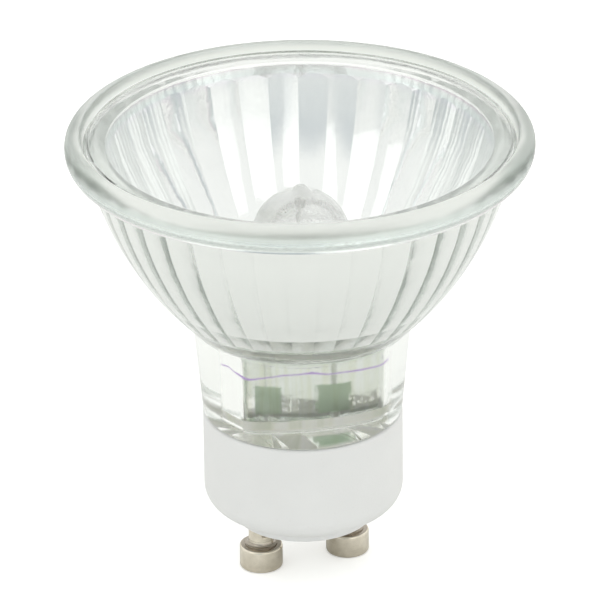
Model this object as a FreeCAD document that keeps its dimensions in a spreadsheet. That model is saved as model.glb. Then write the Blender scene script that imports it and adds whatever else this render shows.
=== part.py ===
import FreeCAD, Part
import math
import os
from dataclasses import dataclass
from enum import IntEnum
from types import SimpleNamespace

import Sketcher

# Spotlight bulb with a twist-and-lock two-pin base: a faceted glass reflector with a cover glass,
# a quartz capsule held in its neck, and a bevelled ceramic base on two headed pins.
# Millimetres. The lamp axis is Z, the pin ends stand on Z = 0 and the pins lie along X.

SIZES = {
    # contact pins
    "pin_spacing": 10.0,
    "pin_reach": 5.75,
    "pin_head_diameter": 4.7,
    "pin_head_height": 2.6,
    "pin_head_bevel": 0.25,
    "pin_collar_diameter": 3.5,
    "pin_collar_height": 0.55,
    "pin_shank_diameter": 2.7,
    "pin_flange_diameter": 4.2,
    "pin_flange_height": 0.6,
    "pin_solid_end": 3.2,
    "pin_hole_clearance": 0.05,
    "crimp_diameter": 0.9,
    "crimp_depth": 0.3,
    "crimp_height": 4.3,
    # ceramic base
    "base_diameter": 21.6,
    "base_height": 12.65,
    "base_wall": 2.4,
    "base_floor": 3.2,
    "base_end_diameter": 15.2,
    "base_end_band": 0.6,
    "base_bevel_angle": 60.0,
    "base_corner_rounding": 2.4,
    "base_rim_rounding": 0.35,
    # cement between the base, the neck and the capsule
    "cement_depth": 2.9,
    "cement_rise": 1.0,
    # reflector neck and bowl
    "neck_foot_diameter": 21.6,
    "neck_foot_rounding": 0.4,
    "neck_top_diameter": 23.5,
    "neck_length": 10.65,
    "slot_length": 11.6,
    "slot_width": 4.4,
    "slot_corner": 1.0,
    "bowl_depth": 18.65,
    "bowl_curve": 37.0,
    "bowl_wall": 1.8,
    "bowl_floor_raise": 1.4,
    "neck_fillet": 1.0,
    # facets inside the bowl, bulged inwards between their cusps, and the plain opening above them
    "facet_count": 39,
    "facet_bulge": 0.16,
    "facet_turn": 6.3,
    "facet_rows": 7,
    "facet_ratio": 0.95,
    "opening_depth": 2.0,
    "opening_narrowing": 0.4,
    # reflector rim and the seat of the cover glass
    "rim_diameter": 50.0,
    "rim_overhang": 2.35,
    "rim_fillet": 0.5,
    "rim_lower_rounding": 1.85,
    "rim_side": 0.2,
    "rim_upper_rounding": 1.4,
    "lip_width": 1.7,
    "lip_rounding": 0.25,
    "seat_depth": 1.9,
    "seat_flare": 0.35,
    "seat_width": 2.3,
    # cover glass and its adhesive
    "glass_thickness": 1.1,
    "glass_edge_gap": 0.3,
    "glass_edge_bevel": 0.15,
    "bond_thickness": 0.12,
    "bond_width": 0.9,
    "bond_rise": 0.75,
    # quartz capsule
    "capsule_diameter": 10.6,
    "capsule_wall": 1.0,
    "capsule_raise": 0.65,
    "capsule_side": 4.3,
    "capsule_shoulder": 3.0,
    "capsule_floor": 1.5,
    "capsule_tip_diameter": 1.8,
    "capsule_tip_height": 0.88,
    "pinch_raise": 0.5,
    "pinch_width": 10.4,
    "pinch_thickness": 2.8,
    "pinch_corner": 0.5,
    "pinch_overlap": 0.4,
    # foils, leads, filament and its support
    "foil_spacing": 4.6,
    "foil_width": 2.15,
    "foil_height": 3.4,
    "foil_thickness": 0.06,
    "foil_raise": 0.9,
    "inner_lead_diameter": 0.3,
    "outer_lead_diameter": 0.6,
    "lead_bore_clearance": 0.1,
    "lead_bend_drop": 0.3,
    "lead_bend_length": 4.8,
    "coil_diameter": 0.6,
    "coil_raise": 3.3,
    "coil_leg": 4.6,
    "support_diameter": 0.3,
    "support_clearance": 0.02,
    "support_anchor": 2.0,
}

SIDES = {"left": -1, "right": 1}

# Share of a shape's diagonal within which two places count as one
SAME_PLACE = 1e-6


class Axis(IntEnum):
    """Sketcher's own numbers for the two axes of a sketch. The first one also names its origin."""

    LEVEL = -1
    UPRIGHT = -2


class Point(IntEnum):
    """Sketcher's own numbers for the points of an edge."""

    START = 1
    END = 2
    CENTRE = 3


@dataclass(frozen=True)
class Measure:
    """A size as the expression that binds it and as its present value."""

    text: str
    value: float

    def __add__(self, other):
        return join(self, "+", other, self.value + number(other))

    def __sub__(self, other):
        return join(self, "-", other, self.value - number(other))

    def __mul__(self, other):
        return join(self, "*", other, self.value * number(other))

    def __truediv__(self, other):
        return join(self, "/", other, self.value / number(other))


def number(item):
    """Value of a measure or of a plain number."""
    return item.value if isinstance(item, Measure) else float(item)


def words(item):
    """Expression of a measure or of a plain number."""
    return item.text if isinstance(item, Measure) else repr(float(item))


def join(first, sign, second, value):
    """Measure of two measures joined by one sign."""
    return Measure(f"({words(first)} {sign} {words(second)})", value)


def root(item):
    """Square root of a measure."""
    return Measure(f"sqrt({item.text})", math.sqrt(item.value))


def sine(angle):
    """Sine of a measure in degrees."""
    return Measure(f"sin({angle.text} * 1 deg)", math.sin(math.radians(angle.value)))


def cosine(angle):
    """Cosine of a measure in degrees."""
    return Measure(f"cos({angle.text} * 1 deg)", math.cos(math.radians(angle.value)))


def tangent(angle):
    """Tangent of a measure in degrees."""
    return Measure(f"tan({angle.text} * 1 deg)", math.tan(math.radians(angle.value)))


ZERO = Measure("0", 0.0)


@dataclass(frozen=True)
class Corner:
    """Corner of an outline. A radius makes the edge that leaves it an arc, turning left or right."""

    x: Measure
    y: Measure
    radius: Measure = None
    turns_left: bool = True

    def vector(self):
        return FreeCAD.Vector(self.x.value, self.y.value, 0)


doc = FreeCAD.newDocument("spotlight_bulb")
sheet = doc.addObject("Spreadsheet::Sheet", "Sizes")
for row, (alias, value) in enumerate(SIZES.items(), start=1):
    sheet.set(f"A{row}", alias)
    sheet.set(f"B{row}", str(value))
    sheet.setAlias(f"B{row}", alias)
doc.recompute()
S = SimpleNamespace(**{alias: Measure(f"Sizes.{alias}", float(sheet.get(alias))) for alias in SIZES})


# Heights that several pieces share
BASE_LOW = S.pin_reach
FLOOR_TOP = BASE_LOW + S.base_floor
BASE_TOP = BASE_LOW + S.base_height
CEMENT_LOW = BASE_TOP - S.cement_depth
NECK_TOP = BASE_TOP + S.neck_length
BOWL_FLOOR = NECK_TOP + S.bowl_floor_raise
RIM_LOW = NECK_TOP + S.bowl_depth
RIM_SIDE_LOW = RIM_LOW + S.rim_lower_rounding
RIM_SIDE_TOP = RIM_SIDE_LOW + S.rim_side
RIM_TOP = RIM_SIDE_TOP + S.rim_upper_rounding
SEAT = RIM_TOP - S.seat_depth
FACET_TOP = SEAT - S.opening_depth
SEAT_WALL = S.seat_depth - S.lip_rounding
GLASS_LOW = SEAT + S.bond_thickness
PINCH_LOW = BASE_TOP + S.pinch_raise
PINCH_TOP = BOWL_FLOOR + S.capsule_raise
CAPSULE_LOW = PINCH_TOP - S.pinch_overlap
CAPSULE_SIDE_LOW = CAPSULE_LOW + S.capsule_shoulder
CAPSULE_SIDE_TOP = CAPSULE_SIDE_LOW + S.capsule_side
FOIL_LOW = PINCH_LOW + S.foil_raise
FOIL_TOP = FOIL_LOW + S.foil_height
COIL_LOW = CAPSULE_LOW + S.coil_raise
COIL_TURN = COIL_LOW + S.coil_leg
COIL_TOP = COIL_TURN + S.foil_spacing / 2

# Radii that several pieces share
RIM_RADIUS = S.rim_diameter / 2
MOUTH_RADIUS = RIM_RADIUS - S.rim_overhang
NECK_RADIUS = S.neck_top_diameter / 2
LIP_RADIUS = RIM_RADIUS - S.lip_width
SEAT_RADIUS = LIP_RADIUS - S.seat_flare
OPENING_RADIUS = SEAT_RADIUS - S.seat_width
GLASS_RADIUS = SEAT_RADIUS - S.glass_edge_gap
BASE_BORE = S.base_diameter / 2 - S.base_wall
SHANK_RADIUS = S.pin_shank_diameter / 2
LEAD_BORE = S.outer_lead_diameter / 2 + S.lead_bore_clearance

# Centre of the arc that the bowl's outside and its facet rows share
BOWL_RUN = MOUTH_RADIUS - NECK_RADIUS
BOWL_CHORD = root(BOWL_RUN * BOWL_RUN + S.bowl_depth * S.bowl_depth)
BOWL_ARROW = root(S.bowl_curve * S.bowl_curve - BOWL_CHORD * BOWL_CHORD / 4)
BOWL_BEYOND = BOWL_ARROW * S.bowl_depth / BOWL_CHORD - (MOUTH_RADIUS + NECK_RADIUS) / 2
BOWL_CENTRE = NECK_TOP + S.bowl_depth / 2 + BOWL_ARROW * BOWL_RUN / BOWL_CHORD
FACET_CURVE = S.bowl_curve - S.bowl_wall


def origin_part(body, role):
    """Plane or axis of a body's own origin."""
    return next(item for item in body.Origin.OriginFeatures if item.Role == role)


def new_body(label):
    """Empty body with its label."""
    body = doc.addObject("PartDesign::Body", label)
    body.Label = label
    return body


def new_sketch(body, name, role, height=None):
    """Sketch on one of the body's origin planes, lifted off it by a height."""
    sketch = body.newObject("Sketcher::SketchObject", name)
    sketch.AttachmentSupport = [(origin_part(body, role), "")]
    sketch.MapMode = "FlatFace"
    if height is not None:
        sketch.setExpression("AttachmentOffset.Base.z", height.text)
    return sketch


def arc_edge(first, last):
    """Arc between two corners that turns the way the first one says."""
    start, end, radius = first.vector(), last.vector(), first.radius.value
    chord = end - start
    side = 1 if first.turns_left else -1
    reach = math.sqrt(max(radius**2 - (chord.Length / 2) ** 2, 0.0))
    across = FreeCAD.Vector(-chord.y, chord.x, 0).normalize()
    centre = (start + end) / 2 + across * (side * reach)
    begin, finish = (start, end) if first.turns_left else (end, start)
    angles = [math.atan2(point.y - centre.y, point.x - centre.x) for point in (begin, finish)]
    circle = Part.Circle(centre, FreeCAD.Vector(0, 0, 1), radius)
    return Part.ArcOfCircle(circle, *angles)


def holding_rules(edge, end, corner):
    """Rules that tie one end of an edge to the corner's two bound distances from the sketch's origin."""
    rules = []
    for kind, axis, measure in (("DistanceX", Axis.UPRIGHT, corner.x), ("DistanceY", Axis.LEVEL, corner.y)):
        if measure is ZERO:
            rules.append((Sketcher.Constraint("PointOnObject", edge, end, axis), None))
        else:
            rule = Sketcher.Constraint(kind, Axis.LEVEL, Point.START, edge, end, measure.value)
            rules.append((rule, measure))
    return rules


def apply_rules(sketch, rules):
    """Adds all of a sketch's rules at once and binds the sizes among them to the sheet."""
    indexes = sketch.addConstraint([rule for rule, _ in rules])
    for index, (_, measure) in zip(indexes, rules):
        if measure is not None:
            sketch.setExpression(f"Constraints[{index}]", measure.text)


def draw(sketch, corners, closed=True):
    """Draws a chain of edges through the corners, each corner and arc radius bound to the sheet."""
    lasts = corners[1:] + corners[:1] if closed else corners[1:]
    ends = []
    rules = []
    for first, last in zip(corners, lasts):
        if first.radius is None:
            edge = sketch.addGeometry(Part.LineSegment(first.vector(), last.vector()), False)
            ends.append((edge, Point.START, Point.END))
            continue
        edge = sketch.addGeometry(arc_edge(first, last), False)
        way = (Point.START, Point.END) if first.turns_left else (Point.END, Point.START)
        ends.append((edge, *way))
        rules.append((Sketcher.Constraint("Radius", edge, first.radius.value), first.radius))
    followers = ends[1:] + ends[:1] if closed else ends[1:]
    for (edge, _, end), (following, start, _) in zip(ends, followers):
        rules.append((Sketcher.Constraint("Coincident", edge, end, following, start), None))
    for (edge, start, _), corner in zip(ends, corners):
        rules += holding_rules(edge, start, corner)
    if not closed:
        last_edge, _, last_end = ends[-1]
        rules += holding_rules(last_edge, last_end, corners[-1])
    apply_rules(sketch, rules)


def draw_circle(sketch, centre, radius):
    """Draws a circle with its centre and radius bound to the sheet."""
    ring = sketch.addGeometry(Part.Circle(centre.vector(), FreeCAD.Vector(0, 0, 1), radius.value), False)
    rules = [(Sketcher.Constraint("Radius", ring, radius.value), radius)]
    apply_rules(sketch, rules + holding_rules(ring, Point.CENTRE, centre))


def turned(body, name, corners, kind="PartDesign::Revolution"):
    """Turns an outline in the XZ plane about the lamp's axis."""
    sketch = new_sketch(body, f"{name}_outline", "XZ_Plane")
    draw(sketch, corners)
    feature = body.newObject(kind, name)
    feature.Profile = sketch
    feature.ReferenceAxis = (sketch, ["V_Axis"])
    feature.Angle = 360
    return feature


def rounded_rectangle(body, name, length, width, corner, height):
    """Sketch of a rounded rectangle about the lamp's axis, level at a height."""
    sketch = new_sketch(body, name, "XY_Plane", height)
    sketch.setExpression("AttachmentOffset.Base.x", f"-{length.text} / 2")
    sketch.setExpression("AttachmentOffset.Base.y", f"-{width.text} / 2")
    draw(
        sketch,
        [
            Corner(corner, ZERO),
            Corner(length - corner, ZERO, corner),
            Corner(length, corner),
            Corner(length, width - corner, corner),
            Corner(length - corner, width),
            Corner(corner, width, corner),
            Corner(ZERO, width - corner),
            Corner(ZERO, corner, corner),
        ],
    )
    return sketch


def padded(body, name, sketch, length):
    """Pads a sketch upwards by a bound length."""
    pad = body.newObject("PartDesign::Pad", name)
    pad.Profile = sketch
    pad.setExpression("Length", length.text)
    return pad


def swept(body, name, section, path):
    """Sweeps a section along a path."""
    pipe = body.newObject("PartDesign::AdditivePipe", name)
    pipe.Profile = section
    pipe.Spine = path
    return pipe


def joined(label, kind, pieces):
    """Fuses several objects, keeps what they share, or cuts the second from the first."""
    result = doc.addObject(kind, label)
    result.Label = label
    if kind == "Part::Cut":
        result.Base, result.Tool = pieces
    else:
        result.Shapes = pieces
    return result


def round_rod(name, diameter, length, x, y, z):
    """Upright round rod with its lower end at a place."""
    rod = doc.addObject("Part::Cylinder", name)
    rod.setExpression("Radius", (diameter / 2).text)
    rod.setExpression("Height", length.text)
    for axis, place in zip("xyz", (x, y, z)):
        rod.setExpression(f"Placement.Base.{axis}", place.text)
    return rod


def facet_sections():
    """Cusp radius and height of each section through the facets, from the seat down to the floor."""
    curve, centre = FACET_CURVE.value, BOWL_CENTRE.value

    def angle_at(height):
        return math.asin((centre - height.value) / curve)

    top, last = angle_at(FACET_TOP), angle_at(BOWL_FLOOR)
    shares = [S.facet_ratio.value**row for row in range(int(S.facet_rows.value))]
    ends = [sum(shares[: row + 1]) / sum(shares) for row in range(len(shares))]
    angles = [angle_at(SEAT)] + [top + (last - top) * end for end in ends]
    return [(curve * math.cos(angle) - BOWL_BEYOND.value, centre - curve * math.sin(angle)) for angle in angles]


def facet_ring(radius, height, mouth):
    """Ring of facets at one height: arcs from cusp to cusp, bulged inwards in step with the radius."""
    pitch = math.radians(360 / S.facet_count.value)
    start = math.radians(S.facet_turn.value)
    bulged = radius - S.facet_bulge.value * radius / mouth

    def around(reach, turn):
        return FreeCAD.Vector(reach * math.cos(turn), reach * math.sin(turn), height)

    arcs = []
    for index in range(int(S.facet_count.value)):
        turn = start + pitch * index
        ends = around(radius, turn), around(radius, turn + pitch)
        arcs.append(Part.Arc(ends[0], around(bulged, turn + pitch / 2), ends[1]).toShape())
    return Part.Wire(arcs)


def make_bowl_core():
    """Plunger that presses the bowl's inside: rows of facets, turned down at the top to a plain opening."""
    sections = facet_sections()
    mouth = sections[0][0]
    facets = doc.addObject("Part::Feature", "facet_core")
    facets.Shape = Part.makeLoft([facet_ring(*section, mouth) for section in sections], True, True)
    opening = doc.addObject("Part::Cone", "opening")
    opening.setExpression("Radius1", (OPENING_RADIUS - S.opening_narrowing).text)
    opening.setExpression("Radius2", OPENING_RADIUS.text)
    opening.setExpression("Height", (SEAT - BOWL_FLOOR).text)
    opening.setExpression("Placement.Base.z", BOWL_FLOOR.text)
    return joined("bowl_core", "Part::MultiCommon", [facets, opening])


def ring_edges(feature, radius, height):
    """Names of a turned feature's edges that run round the lamp's axis at a radius and height."""
    near = feature.Shape.BoundBox.DiagonalLength * SAME_PLACE
    names = []
    for index, edge in enumerate(feature.Shape.Edges, start=1):
        if not isinstance(edge.Curve, Part.Circle):
            continue
        gaps = edge.Curve.Radius - radius.value, edge.Curve.Center.z - height.value
        if max(map(abs, gaps)) < near:
            names.append(f"Edge{index}")
    return names


def filleted(body, name, feature, radius, height, rounding):
    """Rounds the ring edge of a turned feature at a radius and height."""
    doc.recompute()
    fillet = body.newObject("PartDesign::Fillet", name)
    fillet.Base = (feature, ring_edges(feature, radius, height))
    fillet.setExpression("Radius", rounding.text)
    return fillet


def make_glass_blank():
    """Pressed glass before its inside is pressed: rim with its seat, bowl, and neck with the slot."""
    body = new_body("glass_blank")
    foot = S.neck_foot_diameter / 2
    pressing = turned(
        body,
        "pressing",
        [
            Corner(ZERO, BASE_TOP),
            Corner(foot - S.neck_foot_rounding, BASE_TOP, S.neck_foot_rounding),
            Corner(foot, BASE_TOP + S.neck_foot_rounding),
            Corner(NECK_RADIUS, NECK_TOP, S.bowl_curve),
            Corner(MOUTH_RADIUS, RIM_LOW),
            Corner(RIM_RADIUS - S.rim_lower_rounding, RIM_LOW, S.rim_lower_rounding),
            Corner(RIM_RADIUS, RIM_SIDE_LOW),
            Corner(RIM_RADIUS, RIM_SIDE_TOP, S.rim_upper_rounding),
            Corner(RIM_RADIUS - S.rim_upper_rounding, RIM_TOP),
            Corner(LIP_RADIUS + S.lip_rounding, RIM_TOP, S.lip_rounding),
            Corner(LIP_RADIUS, RIM_TOP - S.lip_rounding),
            Corner(SEAT_RADIUS, SEAT),
            Corner(ZERO, SEAT),
        ],
    )
    neck_blend = filleted(body, "neck_blend", pressing, NECK_RADIUS, NECK_TOP, S.neck_fillet)
    filleted(body, "rim_blend", neck_blend, MOUTH_RADIUS, RIM_LOW, S.rim_fillet)
    opening = rounded_rectangle(body, "slot_outline", S.slot_length, S.slot_width, S.slot_corner, BOWL_FLOOR)
    slot = body.newObject("PartDesign::Pocket", "slot")
    slot.Profile = opening
    slot.Type = "ThroughAll"
    return body


def make_front_glass():
    """Flat cover glass with bevelled edges."""
    body = new_body("front_glass")
    top = GLASS_LOW + S.glass_thickness
    edge = S.glass_edge_bevel
    turned(
        body,
        "disc",
        [
            Corner(ZERO, GLASS_LOW),
            Corner(GLASS_RADIUS - edge, GLASS_LOW),
            Corner(GLASS_RADIUS, GLASS_LOW + edge),
            Corner(GLASS_RADIUS, top - edge),
            Corner(GLASS_RADIUS - edge, top),
            Corner(ZERO, top),
        ],
    )
    return body


def make_front_glass_bond():
    """Clear adhesive under the cover glass and up round its edge."""
    body = new_body("front_glass_bond")
    inner = GLASS_RADIUS - S.bond_width
    rise_top = SEAT + S.bond_rise
    turned(
        body,
        "bead",
        [
            Corner(inner, SEAT),
            Corner(SEAT_RADIUS, SEAT),
            Corner(SEAT_RADIUS + S.seat_flare * S.bond_rise / SEAT_WALL, rise_top),
            Corner(GLASS_RADIUS, rise_top),
            Corner(GLASS_RADIUS, GLASS_LOW + S.glass_edge_bevel),
            Corner(GLASS_RADIUS - S.glass_edge_bevel, GLASS_LOW),
            Corner(inner, GLASS_LOW),
        ],
    )
    return body


def make_ceramic_base():
    """Ceramic cup with the base's bevel and two holes for the pins."""
    body = new_body("ceramic_base")
    side = S.base_diameter / 2
    end = S.base_end_diameter / 2
    bevel_low = BASE_LOW + S.base_end_band
    bevel_radius = side - S.base_corner_rounding + S.base_corner_rounding * cosine(S.base_bevel_angle)
    bevel_top = bevel_low + (bevel_radius - end) / tangent(S.base_bevel_angle)
    side_low = bevel_top + S.base_corner_rounding * sine(S.base_bevel_angle)
    turned(
        body,
        "cup",
        [
            Corner(ZERO, BASE_LOW),
            Corner(end, BASE_LOW),
            Corner(end, bevel_low),
            Corner(bevel_radius, bevel_top, S.base_corner_rounding),
            Corner(side, side_low),
            Corner(side, BASE_TOP - S.base_rim_rounding, S.base_rim_rounding),
            Corner(side - S.base_rim_rounding, BASE_TOP),
            Corner(BASE_BORE, BASE_TOP),
            Corner(BASE_BORE, FLOOR_TOP),
            Corner(ZERO, FLOOR_TOP),
        ],
    )
    holes = new_sketch(body, "pin_hole_outlines", "XY_Plane", FLOOR_TOP)
    for sign in SIDES.values():
        draw_circle(holes, Corner(S.pin_spacing / 2 * sign, ZERO), SHANK_RADIUS + S.pin_hole_clearance)
    pocket = body.newObject("PartDesign::Pocket", "pin_holes")
    pocket.Profile = holes
    pocket.Type = "ThroughAll"
    return body


def make_pin(side):
    """Turned contact pin: head, flared collar, bored shank, rolled-over flange and crimp mark."""
    body = new_body(f"contact_pin_{side}")
    head = S.pin_head_diameter / 2
    bevel = S.pin_head_bevel
    flange = S.pin_flange_diameter / 2
    flange_top = FLOOR_TOP + S.pin_flange_height
    turned(
        body,
        "rivet",
        [
            Corner(ZERO, ZERO),
            Corner(head - bevel, ZERO),
            Corner(head, bevel),
            Corner(head, S.pin_head_height - bevel),
            Corner(head - bevel, S.pin_head_height),
            Corner(S.pin_collar_diameter / 2, S.pin_head_height),
            Corner(SHANK_RADIUS, S.pin_head_height + S.pin_collar_height),
            Corner(SHANK_RADIUS, FLOOR_TOP),
            Corner(flange, FLOOR_TOP),
            Corner(flange, flange_top),
            Corner(LEAD_BORE, flange_top),
            Corner(LEAD_BORE, S.pin_solid_end),
            Corner(ZERO, S.pin_solid_end),
        ],
    )
    mark = new_sketch(body, "crimp_outline", "XZ_Plane", SHANK_RADIUS)
    draw_circle(mark, Corner(ZERO, S.crimp_height), S.crimp_diameter / 2)
    crimp = body.newObject("PartDesign::Pocket", "crimp")
    crimp.Profile = mark
    crimp.setExpression("Length", S.crimp_depth.text)
    body.setExpression("Placement.Base.x", (S.pin_spacing / 2 * SIDES[side]).text)
    return body


def make_foil(side):
    """Thin foil sealed in the pinch."""
    foil = doc.addObject("Part::Box", f"foil_{side}")
    foil.Label = f"foil_{side}"
    foil.setExpression("Length", S.foil_width.text)
    foil.setExpression("Width", S.foil_thickness.text)
    foil.setExpression("Height", S.foil_height.text)
    foil.setExpression("Placement.Base.x", (S.foil_spacing / 2 * SIDES[side] - S.foil_width / 2).text)
    foil.setExpression("Placement.Base.y", f"-{S.foil_thickness.text} / 2")
    foil.setExpression("Placement.Base.z", FOIL_LOW.text)
    return foil


def make_inner_lead(side):
    """Straight wire that stands on a foil and carries one end of the filament."""
    place = S.foil_spacing / 2 * SIDES[side]
    lead = round_rod(
        f"inner_lead_{side}", S.inner_lead_diameter, COIL_LOW - FOIL_TOP, place, ZERO, FOIL_TOP
    )
    lead.Label = f"inner_lead_{side}"
    return lead


def make_outer_lead(side):
    """Wire from a foil down through the cement, out in an S bend, and into the bored pin."""
    body = new_body(f"outer_lead_{side}")
    inner, outer = S.foil_spacing / 2, S.pin_spacing / 2
    shift = outer - inner
    bend_top = CEMENT_LOW - S.lead_bend_drop
    bend_low = bend_top - S.lead_bend_length
    curve = (shift * shift + S.lead_bend_length * S.lead_bend_length) / (shift * 4)
    path = new_sketch(body, "route", "XZ_Plane")
    draw(
        path,
        [
            Corner(inner, FOIL_LOW),
            Corner(inner, bend_top, curve),
            Corner((inner + outer) / 2, (bend_top + bend_low) / 2, curve, turns_left=False),
            Corner(outer, bend_low),
            Corner(outer, S.pin_solid_end),
        ],
        closed=False,
    )
    section = new_sketch(body, "section", "XY_Plane", FOIL_LOW)
    draw_circle(section, Corner(inner, ZERO), S.outer_lead_diameter / 2)
    swept(body, "wire", section, path)
    if SIDES[side] < 0:
        body.Placement = FreeCAD.Placement(FreeCAD.Vector(), FreeCAD.Rotation(FreeCAD.Vector(0, 0, 1), 180))
    return body


def make_filament():
    """Coil's outer form: two legs that stand on the inner leads, joined by a half turn."""
    legs = [
        round_rod(
            f"coil_leg_{side}", S.coil_diameter, S.coil_leg, S.foil_spacing / 2 * sign, ZERO, COIL_LOW
        )
        for side, sign in SIDES.items()
    ]
    arch = doc.addObject("Part::Torus", "coil_arch")
    arch.setExpression("Radius1", (S.foil_spacing / 2).text)
    arch.setExpression("Radius2", (S.coil_diameter / 2).text)
    arch.Angle3 = 180
    arch.Placement = FreeCAD.Placement(FreeCAD.Vector(), FreeCAD.Rotation(FreeCAD.Vector(1, 0, 0), 90))
    arch.setExpression("Placement.Base.z", COIL_TURN.text)
    return joined("filament", "Part::MultiFuse", legs + [arch])


def make_filament_support():
    """Wire anchored in the pinch that ends in a hook round the top of the coil."""
    body = new_body("filament_support")
    wire_radius = S.support_diameter / 2
    hook = S.coil_diameter / 2 + S.support_clearance + wire_radius
    low = PINCH_TOP - S.support_anchor
    path = new_sketch(body, "route", "YZ_Plane")
    draw(
        path,
        [
            Corner(hook, low),
            Corner(hook, COIL_TOP, hook),
            Corner(ZERO, COIL_TOP + hook, hook),
            Corner(hook * -1, COIL_TOP, hook),
            Corner(ZERO, COIL_TOP - hook),
        ],
        closed=False,
    )
    section = new_sketch(body, "section", "XY_Plane", low)
    draw_circle(section, Corner(ZERO, hook), wire_radius)
    swept(body, "wire", section, path)
    return body


def make_capsule_blank():
    """Quartz capsule before its wires are sealed in: bulb, exhaust tip, pinch and hollow."""
    body = new_body("capsule_blank")
    side = S.capsule_diameter / 2
    tip = S.capsule_tip_diameter / 2
    tip_low = CAPSULE_SIDE_TOP + root(side * side - tip * tip)
    tip_curve = (tip * tip + S.capsule_tip_height * S.capsule_tip_height) / (S.capsule_tip_height * 2)
    shoulder_curve = (side * side + S.capsule_shoulder * S.capsule_shoulder) / (S.capsule_shoulder * 2)
    turned(
        body,
        "bulb",
        [
            Corner(ZERO, CAPSULE_LOW, shoulder_curve),
            Corner(side, CAPSULE_SIDE_LOW),
            Corner(side, CAPSULE_SIDE_TOP, side),
            Corner(tip, tip_low, tip_curve),
            Corner(ZERO, tip_low + S.capsule_tip_height),
        ],
    )
    pinch = rounded_rectangle(
        body, "pinch_outline", S.pinch_width, S.pinch_thickness, S.pinch_corner, PINCH_LOW
    )
    padded(body, "pinch", pinch, PINCH_TOP - PINCH_LOW)
    inner = side - S.capsule_wall
    hollow_low = CAPSULE_LOW + S.capsule_floor
    hollow_rise = CAPSULE_SIDE_LOW - hollow_low
    floor_curve = (inner * inner + hollow_rise * hollow_rise) / (hollow_rise * 2)
    turned(
        body,
        "hollow",
        [
            Corner(ZERO, hollow_low, floor_curve),
            Corner(inner, CAPSULE_SIDE_LOW),
            Corner(inner, CAPSULE_SIDE_TOP, inner),
            Corner(ZERO, CAPSULE_SIDE_TOP + inner),
        ],
        "PartDesign::Groove",
    )
    return body


def make_cement_blank():
    """Cement before the pinch and wires press into it: a plug in the base with a rise in the slot."""
    body = new_body("cement_blank")
    turned(
        body,
        "plug",
        [
            Corner(ZERO, CEMENT_LOW),
            Corner(BASE_BORE, CEMENT_LOW),
            Corner(BASE_BORE, BASE_TOP),
            Corner(ZERO, BASE_TOP),
        ],
    )
    rise = rounded_rectangle(body, "rise_outline", S.slot_length, S.slot_width, S.slot_corner, BASE_TOP)
    padded(body, "rise", rise, S.cement_rise)
    return body


def check_document():
    """Stops if any object of the document failed to build."""
    for item in doc.Objects:
        if "Invalid" in item.State or "Error" in item.State:
            raise RuntimeError(f"{item.Label} failed: {item.State}")


def write_parts(pieces):
    """Checks each piece's solid and writes it to its own file."""
    for piece in pieces:
        shape = piece.Shape
        if shape.isNull() or not shape.isValid() or len(shape.Solids) != 1:
            raise RuntimeError(f"{piece.Label} is not one valid solid")
    os.makedirs("parts", exist_ok=True)
    for piece in pieces:
        piece.Shape.exportStep(f"parts/{piece.Label}.step")


foils = [make_foil(side) for side in SIDES]
inner_leads = [make_inner_lead(side) for side in SIDES]
outer_leads = [make_outer_lead(side) for side in SIDES]
filament = make_filament()
support = make_filament_support()
capsule_blank = make_capsule_blank()
sealed_metal = joined("sealed_metal", "Part::MultiFuse", foils + inner_leads + outer_leads + [support])
capsule = joined("capsule_envelope", "Part::Cut", [capsule_blank, sealed_metal])
cement_blank = make_cement_blank()
pressed_in = joined("pressed_in", "Part::MultiFuse", [capsule_blank] + outer_leads)
cement = joined("base_cement", "Part::Cut", [cement_blank, pressed_in])
pieces = [
    make_front_glass(),
    make_front_glass_bond(),
    joined("reflector", "Part::Cut", [make_glass_blank(), make_bowl_core()]),
    capsule,
    filament,
    support,
    *inner_leads,
    *foils,
    *outer_leads,
    cement,
    make_ceramic_base(),
    *[make_pin(side) for side in SIDES],
]
doc.recompute()
check_document()
write_parts(pieces)
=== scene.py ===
import logging
import math
from collections.abc import Iterable, Sequence
from dataclasses import dataclass, field
from enum import Enum, IntEnum

import bmesh
import bpy
from mathutils import Matrix, Vector
from mathutils.geometry import delaunay_2d_cdt


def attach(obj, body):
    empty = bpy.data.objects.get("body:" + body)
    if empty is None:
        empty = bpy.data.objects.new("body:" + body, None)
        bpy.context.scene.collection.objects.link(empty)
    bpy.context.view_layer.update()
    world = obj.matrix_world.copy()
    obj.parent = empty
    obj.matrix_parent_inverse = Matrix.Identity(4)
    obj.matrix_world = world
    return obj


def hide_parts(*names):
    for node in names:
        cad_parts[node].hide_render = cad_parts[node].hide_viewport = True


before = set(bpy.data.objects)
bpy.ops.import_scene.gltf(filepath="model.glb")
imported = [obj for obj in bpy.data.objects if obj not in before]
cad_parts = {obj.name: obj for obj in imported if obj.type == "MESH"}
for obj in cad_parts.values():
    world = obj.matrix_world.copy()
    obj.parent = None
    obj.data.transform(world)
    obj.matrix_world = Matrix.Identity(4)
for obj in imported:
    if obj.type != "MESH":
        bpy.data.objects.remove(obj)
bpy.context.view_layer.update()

# Spotlight bulb: faceted glass reflector with a cover glass, quartz capsule in its neck, ceramic base
# on two headed pins. Sizes are in millimetres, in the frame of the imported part, and MM turns them
# into Blender's metres.

MM = 0.001
MERGE = 1e-4
HALVINGS = 40
FULL_TURN = 2 * math.pi
BODY = "root"
log = logging.getLogger("spotlight_bulb")

Colour = tuple[float, float, float]
Place = tuple[float, float, float]
Flat = tuple[float, float]
Waves = tuple[tuple[float, float, float], ...]
Stops = Sequence[tuple[float, Colour]]
Material = bpy.types.Material
Mesh = bpy.types.Mesh
Node = bpy.types.Node
Socket = bpy.types.NodeSocket


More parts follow.
